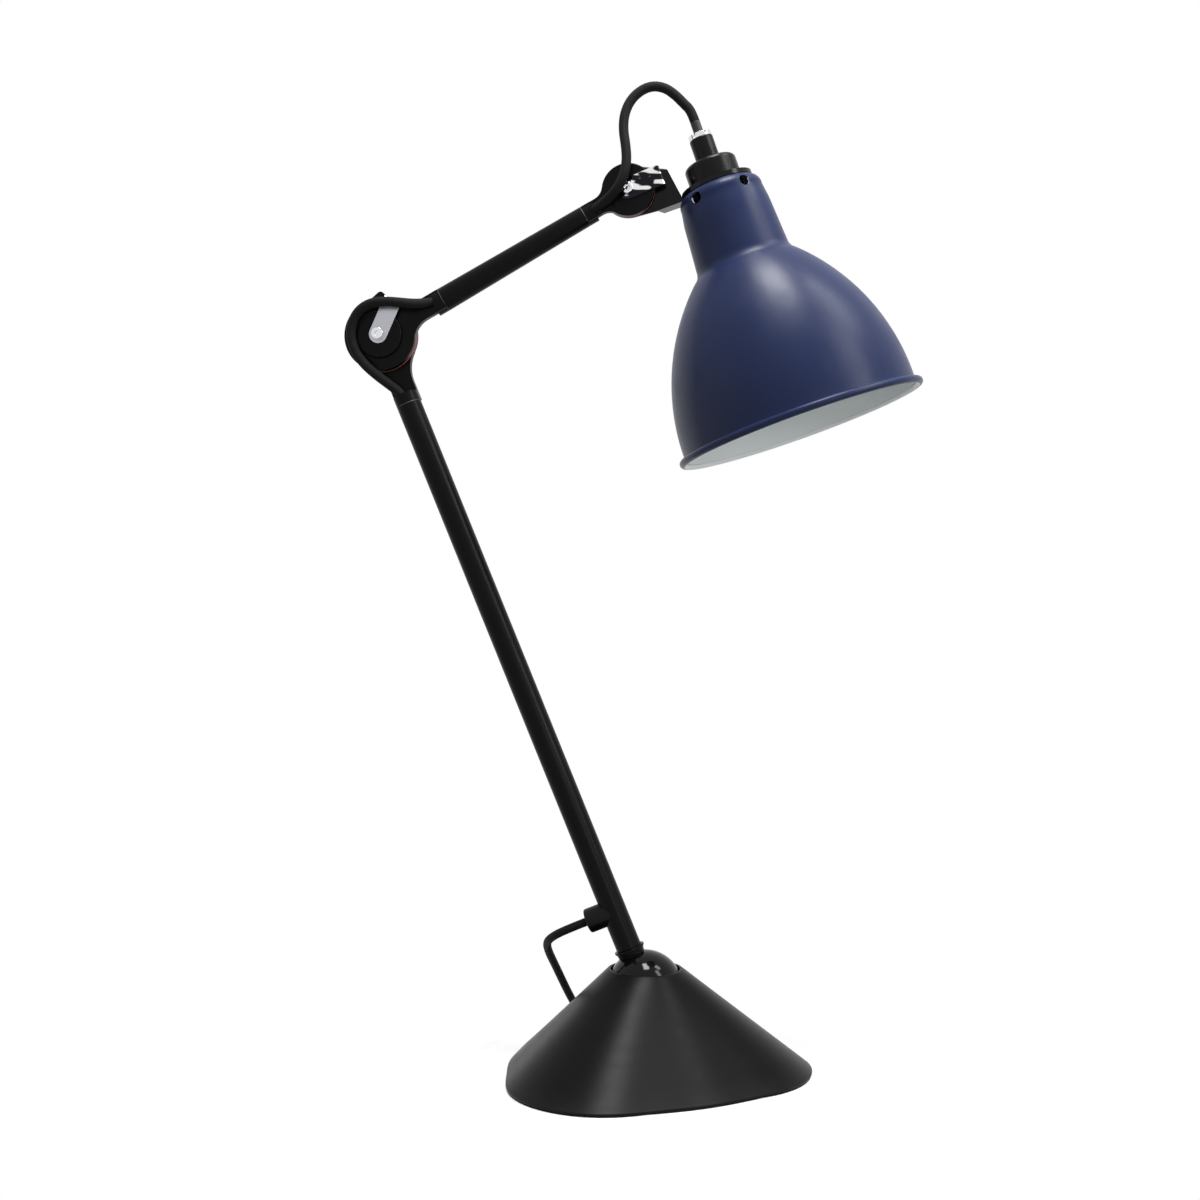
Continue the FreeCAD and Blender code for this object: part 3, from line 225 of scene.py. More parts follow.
def smooth_line(points):
    """The points that a smooth curve through a route's runs passes, read from its spline."""
    curve = bpy.data.curves.new("route", "CURVE")
    curve.dimensions = "3D"
    curve.resolution_u = 24
    spline = curve.splines.new("NURBS")
    spline.points.add(len(points) - 1)
    for point, place in zip(spline.points, points):
        point.co = (*place, 1)
    spline.order_u = 3
    spline.use_endpoint_u = True
    holder = bpy.data.objects.new("route", curve)
    bpy.context.scene.collection.objects.link(holder)
    mesh = evaluated(holder)
    line = [vertex.co.copy() for vertex in mesh.vertices]
    bpy.data.objects.remove(holder)
    bpy.data.curves.remove(curve)
    bpy.data.meshes.remove(mesh)
    return line


def respaced(line, step):
    """The same line with even steps of about `step`."""
    lengths = [(b - a).length for a, b in zip(line, line[1:])]
    total = sum(lengths)
    count = max(4, round(total / step))
    even, behind, k = [], 0.0, 0
    for i in range(count + 1):
        want = total * i / count
        while k < len(lengths) - 1 and behind + lengths[k] < want:
            behind += lengths[k]
            k += 1
        even.append(line[k].lerp(line[k + 1], min(1.0, (want - behind) / max(lengths[k], 1e-9))))
    return even, total


def braid_height(along, around):
    """0 to 1: how far the upper strand stands up at a point of the braid."""
    left, right = along + around, along - around
    upper = left if (floor(left) + floor(right)) % 2 else right
    return 1 - 2 * abs(upper % 1.0 - 0.5)


def cord_mesh(name, line, radius, step, relief, sides, material):
    """A tube along a line, with its skin unrolled in strands, closed at both ends."""
    centres, total = respaced(line, step)
    strands = 4 * round(2 * pi * radius / STRAND / 4)      # whole strands round the cord
    ahead = (centres[1] - centres[0]).normalized()
    side = ahead.cross(Y_AXIS if abs(ahead.y) < 0.9 else Z_AXIS).normalized()
    vertices, faces, skin = [], [], []
    for i, centre in enumerate(centres):
        before, after = centres[max(0, i - 1)], centres[min(len(centres) - 1, i + 1)]
        turned_to = (after - before).normalized()
        side = (side - turned_to * side.dot(turned_to)).normalized()
        up = turned_to.cross(side)
        along = total * i / (len(centres) - 1) / STRAND / 2
        for k in range(sides):
            around = strands * k / sides / 2
            r = radius - relief + relief * braid_height(along, around) if relief else radius
            angle = 2 * pi * k / sides
            vertices.append(centre + (side * cos(angle) + up * sin(angle)) * r)
            skin.append((along, around))
    last = (len(centres) - 1) * sides
    for i in range(len(centres) - 1):
        for k in range(sides):
            a, b = i * sides + k, i * sides + (k + 1) % sides
            faces.append((a, b, b + sides, a + sides))
    faces.append(tuple(range(sides))[::-1])
    faces.append(tuple(range(last, last + sides)))
    mesh = bpy.data.meshes.new(name)
    mesh.from_pydata(vertices, [], faces)
    mesh.uv_layers.new(name="skin")
    for face in mesh.polygons:
        reach = [vertex % sides for vertex in face.vertices]
        wraps = len(face.vertices) == 4 and max(reach) - min(reach) > 1
        for loop, vertex in zip(face.loop_indices, face.vertices):
            u, v = skin[vertex]
            if wraps and vertex % sides == 0:
                v = strands / 2
            mesh.uv_layers[0].data[loop].uv = (u, v)
    mesh.shade_smooth()
    mesh.materials.append(material)
    piece = bpy.data.objects.new(name, mesh)
    bpy.context.scene.collection.objects.link(piece)
    return piece, centres, total


# Mains cord: out of the stub on the arm, down behind the base and into a coil that
# lies on the table behind the lamp, with a flat two-pin plug on top.  The points
# before the coil are given one by one.
MAINS_R = 2.5 * MM
MAINS_RING_STEP, MAINS_SIDES = 1.2 * MM, 24
OUTLET_UP, OUTLET_REACH = 48.6 * MM, 17.1 * MM
COIL_AT = Vector((-8.8, 132.5, 0)) * MM
COIL_MEAN_R, COIL_PITCH, COIL_TURNS, CLIMB = 30.0 * MM, 5.5 * MM, 4.0, 0.5
COIL_START, COIL_END = 180.0, 10.0
POINTS_PER_TURN = 16
NUDGE = 1e-4                        # turns, to read which way the coil runs at an end


def coil_point(turns):
    """Centreline of the two-layer coil: in, up a layer as it reverses, and out again."""
    inward = min(turns, 2 * (COIL_TURNS + CLIMB / 2) - turns)
    radius = COIL_MEAN_R + COIL_PITCH * (COIL_TURNS / 2 - inward)
    rise = min(1.0, max(0.0, (turns - COIL_TURNS) / CLIMB))
    angle = radians(COIL_START - 360 * turns)
    return COIL_AT + Vector((radius * cos(angle), radius * sin(angle),
                             MAINS_R + COIL_PITCH * rise))


coil_total = 2 * COIL_TURNS + ((COIL_START - COIL_END) / 360) % 1
coil_count = round(coil_total * POINTS_PER_TURN)
coil = [coil_point(coil_total * k / coil_count) for k in range(coil_count + 1)]
lead = (coil_point(NUDGE) - coil_point(0)).normalized()
trail = (coil_point(coil_total) - coil_point(coil_total - NUDGE)).normalized()
coil_in, coil_out = coil[0] - lead * 2 * MAINS_R, coil[-1] + trail * 2 * MAINS_R
outlet_side = Vector((-LOWER_AXIS.z, 0, LOWER_AXIS.x))
outlet_end = BALL + LOWER_AXIS * OUTLET_UP + outlet_side * OUTLET_REACH
drop = [outlet_end, outlet_end + outlet_side * 14 * MM] + [Vector(place) * MM for place in (
    (-56.5, 6.5, 75.0), (-61.5, 19.5, 68.5), (-62.0, 34.5, 59.5), (-60.5, 49.5, 49.0),
    (-58.5, 64.0, 37.5), (-56.0, 77.5, 25.5), (-53.0, 88.0, 15.0), (-50.6, 98.4, 6.6))]
drop.append(coil_in - lead * 15 * MM)
PLUG_AIM = Vector((-1, -0.06, 0)).normalized()
gland = COIL_AT + Vector((18.0, -25.4, 17.35)) * MM
tail = [coil_out + trail * 7 * MM, Vector((30.8, 119.1, 11.0)) * MM,
        Vector((25.2, 111.5, 14.6)) * MM, gland - PLUG_AIM * 8.4 * MM, gland]
mains_line = smooth_line(drop + coil + tail)


def nearest(line, place):
    """Number of the line's point that is closest to a place."""
    return min(range(len(line)), key=lambda k: (line[k] - place).length)


# Two-pin plug: soft black moulding on the end of the cord, pressed flat and grooved
# across for the fingers, with a ringed sleeve that keeps the cord from kinking.
class Piece:
    """A mesh made from rows of points, and its finishing steps."""

    def __init__(self, name, material):
        self.shape = bmesh.new()
        self.mesh = bpy.data.meshes.new(name)
        self.mesh.materials.append(material)

    def rows(self, rows, closed=False):
        """Skin over equal rows of points, each a ring; flat ends unless the rows close."""
        made = [[self.shape.verts.new(point) for point in row] for row in rows]
        count = len(made[0])
        pairs = list(zip(made, made[1:])) + ([(made[-1], made[0])] if closed else [])
        for low, high in pairs:
            for k in range(count):
                n = (k + 1) % count
                self.shape.faces.new((low[k], low[n], high[n], high[k]))
        if not closed:
            self.shape.faces.new(made[0][::-1])
            self.shape.faces.new(made[-1])
        return self

    def turn(self, outline, origin, axis, sides=96, closed=False):
        """Turn an outline of (radius, height), in millimetres, about an axis."""
        across = axis.orthogonal().normalized()
        other = axis.cross(across)
        around = [across * cos(2 * pi * k / sides) + other * sin(2 * pi * k / sides)
                  for k in range(sides)]
        return self.rows([[origin + (way * radius + axis * height) * MM for way in around]
                          for radius, height in outline], closed)

    def take(self, node, wanted=None):
        """Copy a frame node's skin, merged, or the part of it that `wanted` picks."""
        self.shape.from_mesh(frame["nodes"][node].data)
        bmesh.ops.remove_doubles(self.shape, verts=self.shape.verts, dist=1e-7)
        if wanted:
            rest = [face for face in self.shape.faces if not wanted(face.calc_center_median())]
            bmesh.ops.delete(self.shape, geom=rest, context="FACES")
        bmesh.ops.dissolve_limit(self.shape, angle_limit=radians(0.3), verts=self.shape.verts,
                                 edges=self.shape.edges)
        return self

    def finish(self, edge=0.25 * MM, segments=2, sharp=28):
        """Make the object: smooth, with creases at sharp edges and a small rounding there."""
        bmesh.ops.remove_doubles(self.shape, verts=self.shape.verts, dist=1e-8)
        bmesh.ops.recalc_face_normals(self.shape, faces=self.shape.faces)
        self.shape.to_mesh(self.mesh)
        self.shape.free()
        self.mesh.shade_smooth()
        self.mesh.set_sharp_from_angle(angle=radians(sharp))
        made = bpy.data.objects.new(self.mesh.name, self.mesh)
        bpy.context.scene.collection.objects.link(made)
        if edge:
            bevel = made.modifiers.new("edges", "BEVEL")
            bevel.width, bevel.segments = edge, segments
            bevel.limit_method, bevel.angle_limit = "ANGLE", radians(40)
            bevel.harden_normals = True
        return made


def assign(made, slot, *nodes):
    """The piece stands for frame nodes and moves with their body; `slot` is not used."""
    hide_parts(*nodes)
    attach(made, frame["nodes"][nodes[0]]["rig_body"])
    return made


def kept(node, material, slot, edge=0.25 * MM):
    """A machined or moulded piece as the frame holds it, with softened edges."""
    return assign(Piece(node + "_dressed", material).take(node).finish(edge), slot, node)


def repeated(name, piece, material, values):
    """Copies of a piece, each turned and shifted on from the last, as one mesh."""
    tree = bpy.data.node_groups.new("repeat", "GeometryNodeTree")
    kinds = {"Piece": "Object", "Count": "Int", "Centre": "Vector", "Axis": "Vector",
             "Turn": "Float", "Step": "Vector", "Finish": "Material"}
    names = {}
    for label, kind in kinds.items():
        names[label] = tree.interface.new_socket(
            label, in_out="INPUT", socket_type="NodeSocket" + kind).identifier
    tree.interface.new_socket("Geometry", in_out="OUTPUT", socket_type="NodeSocketGeometry")
    given = tree.nodes.new("NodeGroupInput").outputs

    def node(kind, links, **settings):
        made = tree.nodes.new(kind)
        for key, value in settings.items():
            setattr(made, key, value)
        for key, socket in links.items():
            tree.links.new(socket, made.inputs[key])
        return made.outputs

    index = node("GeometryNodeInputIndex", {})[0]
    angle = node("ShaderNodeMath", {0: index, 1: given["Turn"]}, operation="MULTIPLY")[0]
    spun = node("ShaderNodeVectorRotate", {
        "Center": given["Centre"], "Axis": given["Axis"], "Angle": angle})[0]
    moved = node("ShaderNodeVectorMath", {0: given["Step"], "Scale": index}, operation="SCALE")[0]
    place = node("ShaderNodeVectorMath", {0: spun, 1: moved}, operation="ADD")[0]
    points = node("GeometryNodePoints", {"Count": given["Count"], "Position": place})[0]
    facing = node("FunctionNodeAxisAngleToRotation", {"Axis": given["Axis"], "Angle": angle})[0]
    shape = node("GeometryNodeObjectInfo", {"Object": given["Piece"]})["Geometry"]
    copies = node("GeometryNodeInstanceOnPoints", {
        "Points": points, "Instance": shape, "Rotation": facing})[0]
    solid = node("GeometryNodeRealizeInstances", {"Geometry": copies})[0]
    painted = node("GeometryNodeSetMaterial", {"Geometry": solid, "Material": given["Finish"]})[0]
    node("NodeGroupOutput", {"Geometry": painted})

    holder = bpy.data.objects.new(name, bpy.data.meshes.new(name))
    bpy.context.scene.collection.objects.link(holder)
    modifier = holder.modifiers.new("repeat", "NODES")
    modifier.node_group = tree
    for label, value in {"Piece": piece, "Finish": material, **values}.items():
        modifier[names[label]] = value
    mesh = evaluated(holder)
    holder.modifiers.remove(modifier)
    holder.data = mesh
    bpy.data.objects.remove(piece)
    return holder


def lacquer(name, colour, roughness, grain, depth, shine, **constants):
    """A paint or a moulded skin: faint peel, and duller patches where hands touch it."""
    coat = Finish(name, colour, roughness, Specular_IOR_Level=shine, **constants)
    patches = coat.place.noise(38.0, 4.0)
    coat.feed("Roughness", patches.ease(0.3, 0.8) * 0.10 + (roughness - 0.05))
    coat.bump(coat.place.noise(grain, 2.0), depth)
    return coat


PLUG_UP, PLUG_ACROSS = Z_AXIS, Vector((-PLUG_AIM.y, PLUG_AIM.x, 0))
PLUG_RIBS, RIB_STEP, RIB_CLIMB = 5, 2.3 * MM, 0.03      # the ribs rise with the plug's back
RIB_FROM_GLAND, RIB_UP, RIB_HALF = 13.2, 6.2, 5.5
FINS, FIN_STEP, FIN_T, FIN_GROWTH = 5, 1.6, 1.0, 0.15
SLEEVE_FOOT, SLEEVE_TIP, SLEEVE_R, SLEEVE_BORE = -7.6, 0.4, 2.9, 2.5
SLEEVED_TO = 45 * MM                # how far from the gland the pins are insulated
moulded_black = lacquer("moulded_black", SOFT_BLACK, roughness=0.30,
                        grain=1800.0, depth=0.010 * MM, shine=0.12).material


def plug_ring(distance, width, height, sides=64):
    """Flattened ring round the plug: stadium-like, `distance` from the gland."""
    centre = gland + PLUG_AIM * distance * MM
    ring = []
    for k in range(sides):
        c, s = cos(2 * pi * k / sides), sin(2 * pi * k / sides)
        x, z = copysign(abs(c) ** 0.7, c) * width / 2, copysign(abs(s) ** 0.85, s) * height / 2
        ring.append(centre + (PLUG_ACROSS * x + PLUG_UP * z) * MM)
    return ring


moulding = Piece("plug_moulding", moulded_black)
moulding.rows([plug_ring(*ring) for ring in (
    (0, 9.0, 8.0), (5, 14.2, 9.9), (10, 20.0, 12.0), (14, 24.0, 12.5), (19, 29.4, 13.1),
    (24, 33.6, 13.6), (27, 34.0, 13.7), (35, 34.0, 13.7), (35.7, 33.2, 12.9), (36, 31.6, 11.4))])
fins = []
for k in range(FINS):
    low, reach = SLEEVE_FOOT + k * FIN_STEP, SLEEVE_R + 0.5 + k * FIN_GROWTH
    fins += [(SLEEVE_R if k else SLEEVE_BORE, low), (reach, low), (reach, low + FIN_T),
             (SLEEVE_R, low + FIN_T)]
fins += [(SLEEVE_R, SLEEVE_TIP), (SLEEVE_BORE, SLEEVE_TIP)]
moulding.turn(fins, gland, PLUG_AIM, 40, True)
body = moulding.finish(0.15 * MM)
rib = Piece("rib", moulded_black)
rib_at = gland + (PLUG_AIM * RIB_FROM_GLAND + PLUG_UP * RIB_UP) * MM
rib.rows([[rib_at + (PLUG_ACROSS * x + PLUG_AIM * a + PLUG_UP * z) * MM
           for a, z in ((-0.5, -0.8), (0.5, -0.8), (0.3, 0.35), (-0.3, 0.35))]
          for x in (-RIB_HALF, RIB_HALF)])
ribs = repeated("plug_ribs", rib.finish(0.1 * MM), moulded_black, {
    "Count": PLUG_RIBS, "Axis": PLUG_UP, "Step": (PLUG_AIM + PLUG_UP * RIB_CLIMB) * RIB_STEP})
joined = bmesh.new()
joined.from_mesh(body.data)
joined.from_mesh(ribs.data)
joined.to_mesh(body.data)
joined.free()
bpy.data.objects.remove(ribs)
assign(body, "black_moulding", "plug_body")

# Plug pins: nickel-plated brass with round tips.  The half beside the moulding has a
# black insulating sleeve.
def metal(name, colour, roughness, scratch, depth):
    """Bare metal with the fine lines of turning or rolling, and faint smudges."""
    bare = Finish(name, colour, roughness, 1.0)
    lines = bare.place.stretched(1.0, 1.0, 14.0).noise(scratch, 3.0)
    smudge = bare.place.noise(120.0, 3.0)
    bare.feed("Roughness", smudge.ease(0.35, 0.75) * 0.08 + lines * 0.06 + (roughness - 0.04))
    bare.bump(lines, depth)
    return bare.material


nickel = metal("nickel_pins", (0.62, 0.59, 0.53), roughness=0.2, scratch=500.0, depth=0.004 * MM)
pins = kept("plug_pins", nickel, "nickel_pins", 0)
pins.data.materials.append(moulded_black)
for face in pins.data.polygons:
    if (face.center - gland).dot(PLUG_AIM) < SLEEVED_TO:
        face.material_index = 1

# Pieces of the mains cord: each one between two bodies is left where it lies, on no
# body, and the last one, which lies in the coil, moves with the base.
stops = [outlet_end] + [(drop[k] + drop[k + 1]) * 0.5 for k in (3, 5, 8)] + [gland]
stops = [nearest(mains_line, stop) for stop in stops]
mains_pieces = (
    ("mains_cord_top", "lower_arm", "ball", ("mains_drop_top",)),
    ("mains_cord_mid", "ball", "swivel_cup", ("mains_drop_mid",)),
    ("mains_cord_foot", "swivel_cup", "base", ("mains_drop_foot",)),
    ("mains_cord", "base", None, ("mains_lay", "mains_coil", "mains_tail")))
for (name, upper, lower, nodes), begin, finish in zip(mains_pieces, stops, stops[1:]):
    line = mains_line[begin:finish + 1]
    piece, centres, length = cord_mesh(name, line, MAINS_R, MAINS_RING_STEP, 0, MAINS_SIDES,
                                       braid_black)
    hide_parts(*nodes)
    if lower:
        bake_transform(piece)
    else:
        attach(piece, upper)


# Cords across the elbow and from the wrist to the lampholder: the same braid over
# thicker cores.  Each comes out of a tube through a thin sleeve.
ARM_CORD_R = 2.9 * MM
LOWER_TILT, UPPER_TILT = radians(-12), radians(12)
LOWER_MOUTH_DOWN, UPPER_FOOT_UP, UPPER_END_UP = 44.0, 43.0, 141.0      # from the elbow's screw


def leaned(axis, turn, sideways):
    """An arm's axis turned in the arms' plane and drawn a little to the front."""
    lean = atan2(axis.x, axis.z) + turn
    return Vector((sin(lean), sideways, cos(lean))).normalized()


def near(centre, places):
    """Listed points, in millimetres from a joint's screw."""
    return [centre + Vector(place) * MM for place in places]


lower_mouth = ELBOW - LOWER_AXIS * LOWER_MOUTH_DOWN * MM + Vector((0, -2.75, 0)) * MM
upper_mouth = ELBOW + UPPER_AXIS * UPPER_FOOT_UP * MM + Vector((0, -2.5, 0)) * MM
wrist_mouth = ELBOW + UPPER_AXIS * UPPER_END_UP * MM + Vector((0, -1.5, 0)) * MM
lower_aim = leaned(LOWER_AXIS, LOWER_TILT, -0.12)
upper_aim = leaned(UPPER_AXIS, UPPER_TILT, 0.2)
wrist_aim = leaned(UPPER_AXIS, 0.0, -0.3)
HEAD_LEAN = radians(-19.0)
HEAD_UP = Vector((sin(HEAD_LEAN), 0, cos(HEAD_LEAN)))
HEAD_SIDE = Vector((cos(HEAD_LEAN), 0, -sin(HEAD_LEAN)))
CROWN = WRIST + HEAD_SIDE * 49.9 * MM - HEAD_UP * 13.7 * MM
SLEEVE_TOP = 38.3 * MM
cord_end = CROWN + HEAD_UP * SLEEVE_TOP

elbow_points = [lower_mouth - lower_aim * 2 * MM, lower_mouth + lower_aim * 7 * MM]
elbow_points += near(ELBOW, (
    (5.9, -6.3, -29.7), (-1.7, -8.6, -23.9), (-8.9, -9.6, -17.3), (-14.3, -9.8, -9.3),
    (-16.5, -9.8, -0.1), (-14.7, -10.4, 8.7), (-9.5, -12.0, 14.9), (-1.9, -13.2, 18.1),
    (7.1, -13.4, 18.3), (15.3, -13.0, 17.5), (22.7, -10.4, 17.1)))
elbow_points += [upper_mouth - upper_aim * 7.5 * MM, upper_mouth + upper_aim * 2 * MM]
head_points = [wrist_mouth - wrist_aim * 2 * MM, wrist_mouth + wrist_aim * 8 * MM]
head_points += near(WRIST, (
    (-10.7, -8.4, -5.9), (-5.5, -12.4, -1.6), (-1.6, -13.4, 5.3), (0.1, -12.2, 14.5),
    (-0.7, -10.4, 24.1), (-2.3, -8.2, 33.3), (-2.0, -6.8, 42.7), (1.2, -5.4, 51.2),
    (6.9, -4.2, 57.3), (13.9, -3.2, 60.5), (21.3, -2.0, 59.7), (27.5, -1.0, 55.6),
    (32.7, -0.3, 50.3)))
head_points += [cord_end + HEAD_UP * 7 * MM, cord_end]
arm_cords = (("elbow_loop", "elbow_cord", elbow_points, "lower_arm", "upper_arm"),
             ("head_loop", "head_cord", head_points, "upper_arm", "head"))
for name, node, points, inner, outer in arm_cords:
    line = smooth_line(points)
    piece, centres, length = cord_mesh(name, line, ARM_CORD_R, RING_STEP, RELIEF, BRAID_SIDES,
                                       braid_black)
    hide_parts(node)
    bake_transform(piece)


# ---------------------------------------------------------------- base shell
# Cast iron cone, hollow below and heavy: a rounded triangle at the foot that runs up to
# a round mouth.  Satin black paint, with the faint waves of a casting under it.
OUTLINE = (88.436, 8.864, 0.683, -0.544)    # mean reach and its three, six and nine-fold waves
MOUTH_R, CONE_FOOT, CONE_TOP, CONE_RINGS = 21.9, 2.2, 59.3, 34
SEAT_Z, SEAT_R = 47.6, 22.35                # the hollow ring that the ball is pressed into
BORE_R, BORE_FOOT, BORE_TOP, BOSS_R, BOSS_TOP, WALL = 22.6, 11.0, 47.0, 27.0, 44.0, 8.3
CAST_BLACK = (0.0024, 0.0024, 0.0029)
casting = Finish("black_casting", CAST_BLACK, 0.34, Specular_IOR_Level=0.070)
dust = (0.012 - casting.place.part("Z")).ease(0.0, 0.012) * casting.place.noise(90.0, 5.0)
casting.feed("Base Color", dust.tint(CAST_BLACK, (0.010, 0.0095, 0.009)))
streaks = casting.place.stretched(1.0, 1.0, 5.0).noise(60.0, 4.0)
casting.feed("Roughness", streaks * 0.08 + 0.31)
casting.bump(casting.place.noise(22.0, 2.0) * 5.0 + casting.place.noise(1300.0, 2.0), 0.03 * MM)


def base_ring(z, share, inset=0.0, sides=240):
    """Ring at a height: `share` 0 is the foot's outline, 1 the round mouth."""
    ring = []
    for k in range(sides):
        turn = 2 * pi * k / sides
        foot = sum(wave * cos(3 * n * turn) for n, wave in enumerate(OUTLINE))
        reach = foot * (1 - share) + MOUTH_R * share - inset
        ring.append(Vector((reach * cos(turn), reach * sin(turn), z)) * MM)
    return ring


def cone_ring(share, inset=0.0):
    """Ring of the cone between its foot and its mouth."""
    return base_ring(CONE_FOOT + (CONE_TOP - CONE_FOOT) * share, share, inset)


def round_rings(places):
    """Rings of the round mouth and bore, from pairs of height and radius."""
    return [base_ring(z, 1, MOUTH_R - r) for z, r in places]


rings = [base_ring(z, 0, inset) for z, inset in ((1.2, 0.6), (1.3, 0.25), (1.7, 0.02))]
rings += [cone_ring(k / CONE_RINGS) for k in range(CONE_RINGS)]
rings += round_rings([(58.9, 22.25), (59.15, 21.95), (59.3, 21.5), (59.3, 20.8), (59.1, 20.4),
                      (58.7, 20.3), (56.8, 20.3)])
rings += round_rings([(SEAT_Z + SEAT_R * sin(radians(a)), SEAT_R * cos(radians(a)))
                      for a in (20, 12, 4)])
rings += round_rings([(BORE_TOP, BORE_R), (BORE_FOOT, BORE_R), (BORE_FOOT, BOSS_R),
                      (BOSS_TOP, BOSS_R)])
rings += [cone_ring(share, WALL) for share in (0.7, 0.4, 0.06)]
rings += [base_ring(5.2, 0.05, 6.0), base_ring(1.2, 0, 6.0)]
shell = Piece("base_shell_cast", casting.material).rows(rings, True).finish(0, sharp=35)
assign(shell, "black_casting", "base_shell")

# ---------------------------------------------------------------- ball and stem
# Turned from one steel bar: the ball that the cone traps, and the stem that goes up
# into the arm, with a groove for a clip.  Polished and blacked.
BALL_R, STEM_R, GROOVE_R = 22.3, 5.0, 4.5
ARM_BLACK = (0.0020, 0.0020, 0.0026)
gloss_black = lacquer("gloss_black", ARM_BLACK, roughness=0.12,
                      grain=700.0, depth=0.004 * MM, shine=0.16).material
ball_outline = [(BALL_R * sin(radians(a)), -BALL_R * cos(radians(a))) for a in range(2, 167, 3)]
ball_outline += [(STEM_R, sqrt(BALL_R ** 2 - STEM_R ** 2)), (STEM_R, 34.6), (GROOVE_R, 34.6),
                 (GROOVE_R, 35.8), (STEM_R, 35.8), (STEM_R, 36.5), (GROOVE_R, 37.0)]
ball = Piece("ball_turned", gloss_black).turn(ball_outline, BALL, LOWER_AXIS, 128).finish(0)
assign(ball, "gloss_black", "ball_stem")

# ---------------------------------------------------------------- what presses the ball up
# A nylon cup under the ball, two dished spring washers and a steel plug screwed into
# the bore from below.  Two holes in the plug take the key that sets the friction.
nylon = lacquer("grey_nylon", (0.35, 0.35, 0.33), roughness=0.5,
                grain=900.0, depth=0.02 * MM, shine=0.4).material
zinc = metal("bare_steel", (0.42, 0.42, 0.43), roughness=0.36, scratch=700.0, depth=0.01 * MM)
kept("friction_cup", nylon, "grey_nylon")
kept("ball_springs", zinc, "bare_steel", 0.1 * MM)
kept("ball_plug", zinc, "bare_steel")

# ---------------------------------------------------------------- base plate and its screws
# Sawn steel plate that closes the base and gives it weight, held by three
# countersunk screws into posts of the casting.
kept("base_plate", zinc, "bare_steel")
first_screw = Piece("screw", zinc).take("base_screws", lambda place: place.x > 0.03)
screws = repeated("base_screws_set", first_screw.finish(0.1 * MM), zinc, {
    "Count": 3, "Centre": Vector((0, 0, 0)), "Axis": Z_AXIS, "Turn": radians(120)})
assign(screws, "bare_steel", "base_screws")

# Rubber pad: cut from sheet and glued under the plate, a little inside the rim.
rubber = lacquer("pad_rubber", (0.008, 0.008, 0.008), roughness=0.8,
                 grain=2200.0, depth=0.06 * MM, shine=0.1).material
kept("base_pad", rubber, "pad_rubber")

# ---------------------------------------------------------------- collar, bush and clip
# The collar is a turned nut with a thin flange that closes the tube's foot.  Inside, a
# brass bush runs on the stem and a spring clip keeps it there.
def satin(name):
    """The lacquer that collar, fittings and tubes share."""
    return lacquer(name, ARM_BLACK, roughness=0.33,
                   grain=1500.0, depth=0.020 * MM, shine=0.08)


satin_black = satin("satin_black").material
brass = metal("brass", (0.60, 0.43, 0.18), roughness=0.3, scratch=700.0, depth=0.01 * MM)
collar_outline = [(5.0, 21.75), (6.5, 21.35), (7.85, 20.9), (8.05, 21.9), (7.8, 22.0), (7.8, 22.3),
                  (8.12, 22.4), (8.45, 24.1), (9.05, 24.15), (9.05, 25.45), (5.0, 25.5)]
collar = Piece("collar_turned", satin_black).turn(collar_outline, BALL, LOWER_AXIS, closed=True)
collar = collar.finish(0.12 * MM)
assign(collar, "satin_black", "collar_nut")
kept("stem_bush", brass, "brass")
kept("stem_clip", zinc, "bare_steel", 0.1 * MM)

# ---------------------------------------------------------------- lower tube
# Drawn steel tube, 15 mm across, lacquered after it was cut and drilled; a light band
# is painted in patches along its mouth at the elbow as the edge's highlight.
LOWER_MOUTH_UP = 373.7              # from the ball's centre
GLINT_FROM, GLINT_TO = 0.15 * MM, 0.6 * MM


def highlit_mouths(name, places):
    """Satin black with a light band painted in patches at a tube's ends, as the edges' highlight.
    """
    coat = satin(name)
    glint = 0.0
    for place, axis in places:
        gap = coat.place.node("VectorMath", {"operation": "SUBTRACT"}, {0: coat.place, 1: place})
        away = gap.node("VectorMath", {"operation": "DOT_PRODUCT"}, {0: gap, 1: axis}, 1)
        edge = 1 - away.math("ABSOLUTE", away).ease(GLINT_FROM, GLINT_TO)
        glint = edge * coat.place.noise(400.0, 3.0).ease(0.25, 0.6) + glint
    # Light grey painted in patches at the mouths: a painted highlight of the edges.
    coat.feed("Base Color", glint.tint(ARM_BLACK, (0.16, 0.16, 0.17)))
    return coat.material


lower_finish = highlit_mouths("lower_tube_black", [
    (BALL + LOWER_AXIS * LOWER_MOUTH_UP * MM, LOWER_AXIS)])
kept("lower_tube", lower_finish, "satin_black", 0.3 * MM)

# Cord outlet: a moulded stub pressed into a hole near the tube's foot, where the mains
# cord leaves the arm.
kept("cord_outlet", moulded_black, "black_moulding")

# ---------------------------------------------------------------- lower elbow fitting
# Die-cast disc with a stop lug and a flat neck.  Its plug is pressed into the lower
# tube, and a groove leaves room for the cord.
kept("lower_elbow_fitting", satin_black, "satin_black", 0.35 * MM)

# Friction washer: red vulcanised fibre, punched, between the two discs.
fibre = lacquer("red_fibre", (0.50, 0.13, 0.08), roughness=0.7,
                grain=2600.0, depth=0.06 * MM, shine=0.2).material
kept("elbow_friction_washer", fibre, "red_fibre", 0.1 * MM)

# ---------------------------------------------------------------- upper elbow fitting
# The second disc, cast with a raised boss for the screw.  Its neck runs into a plug
# that is pressed into the upper tube.
kept("upper_elbow_fitting", satin_black, "satin_black", 0.35 * MM)

# Upper tube: drawn to a slight taper, thinner at the wrist, in the same lacquer, with the same
# painted edge highlight at both mouths.
upper_finish = highlit_mouths("upper_tube_black", [
    (ELBOW + UPPER_AXIS * up * MM, UPPER_AXIS) for up in (UPPER_FOOT_UP, UPPER_END_UP)])
kept("upper_tube", upper_finish, "satin_black", 0.3 * MM)

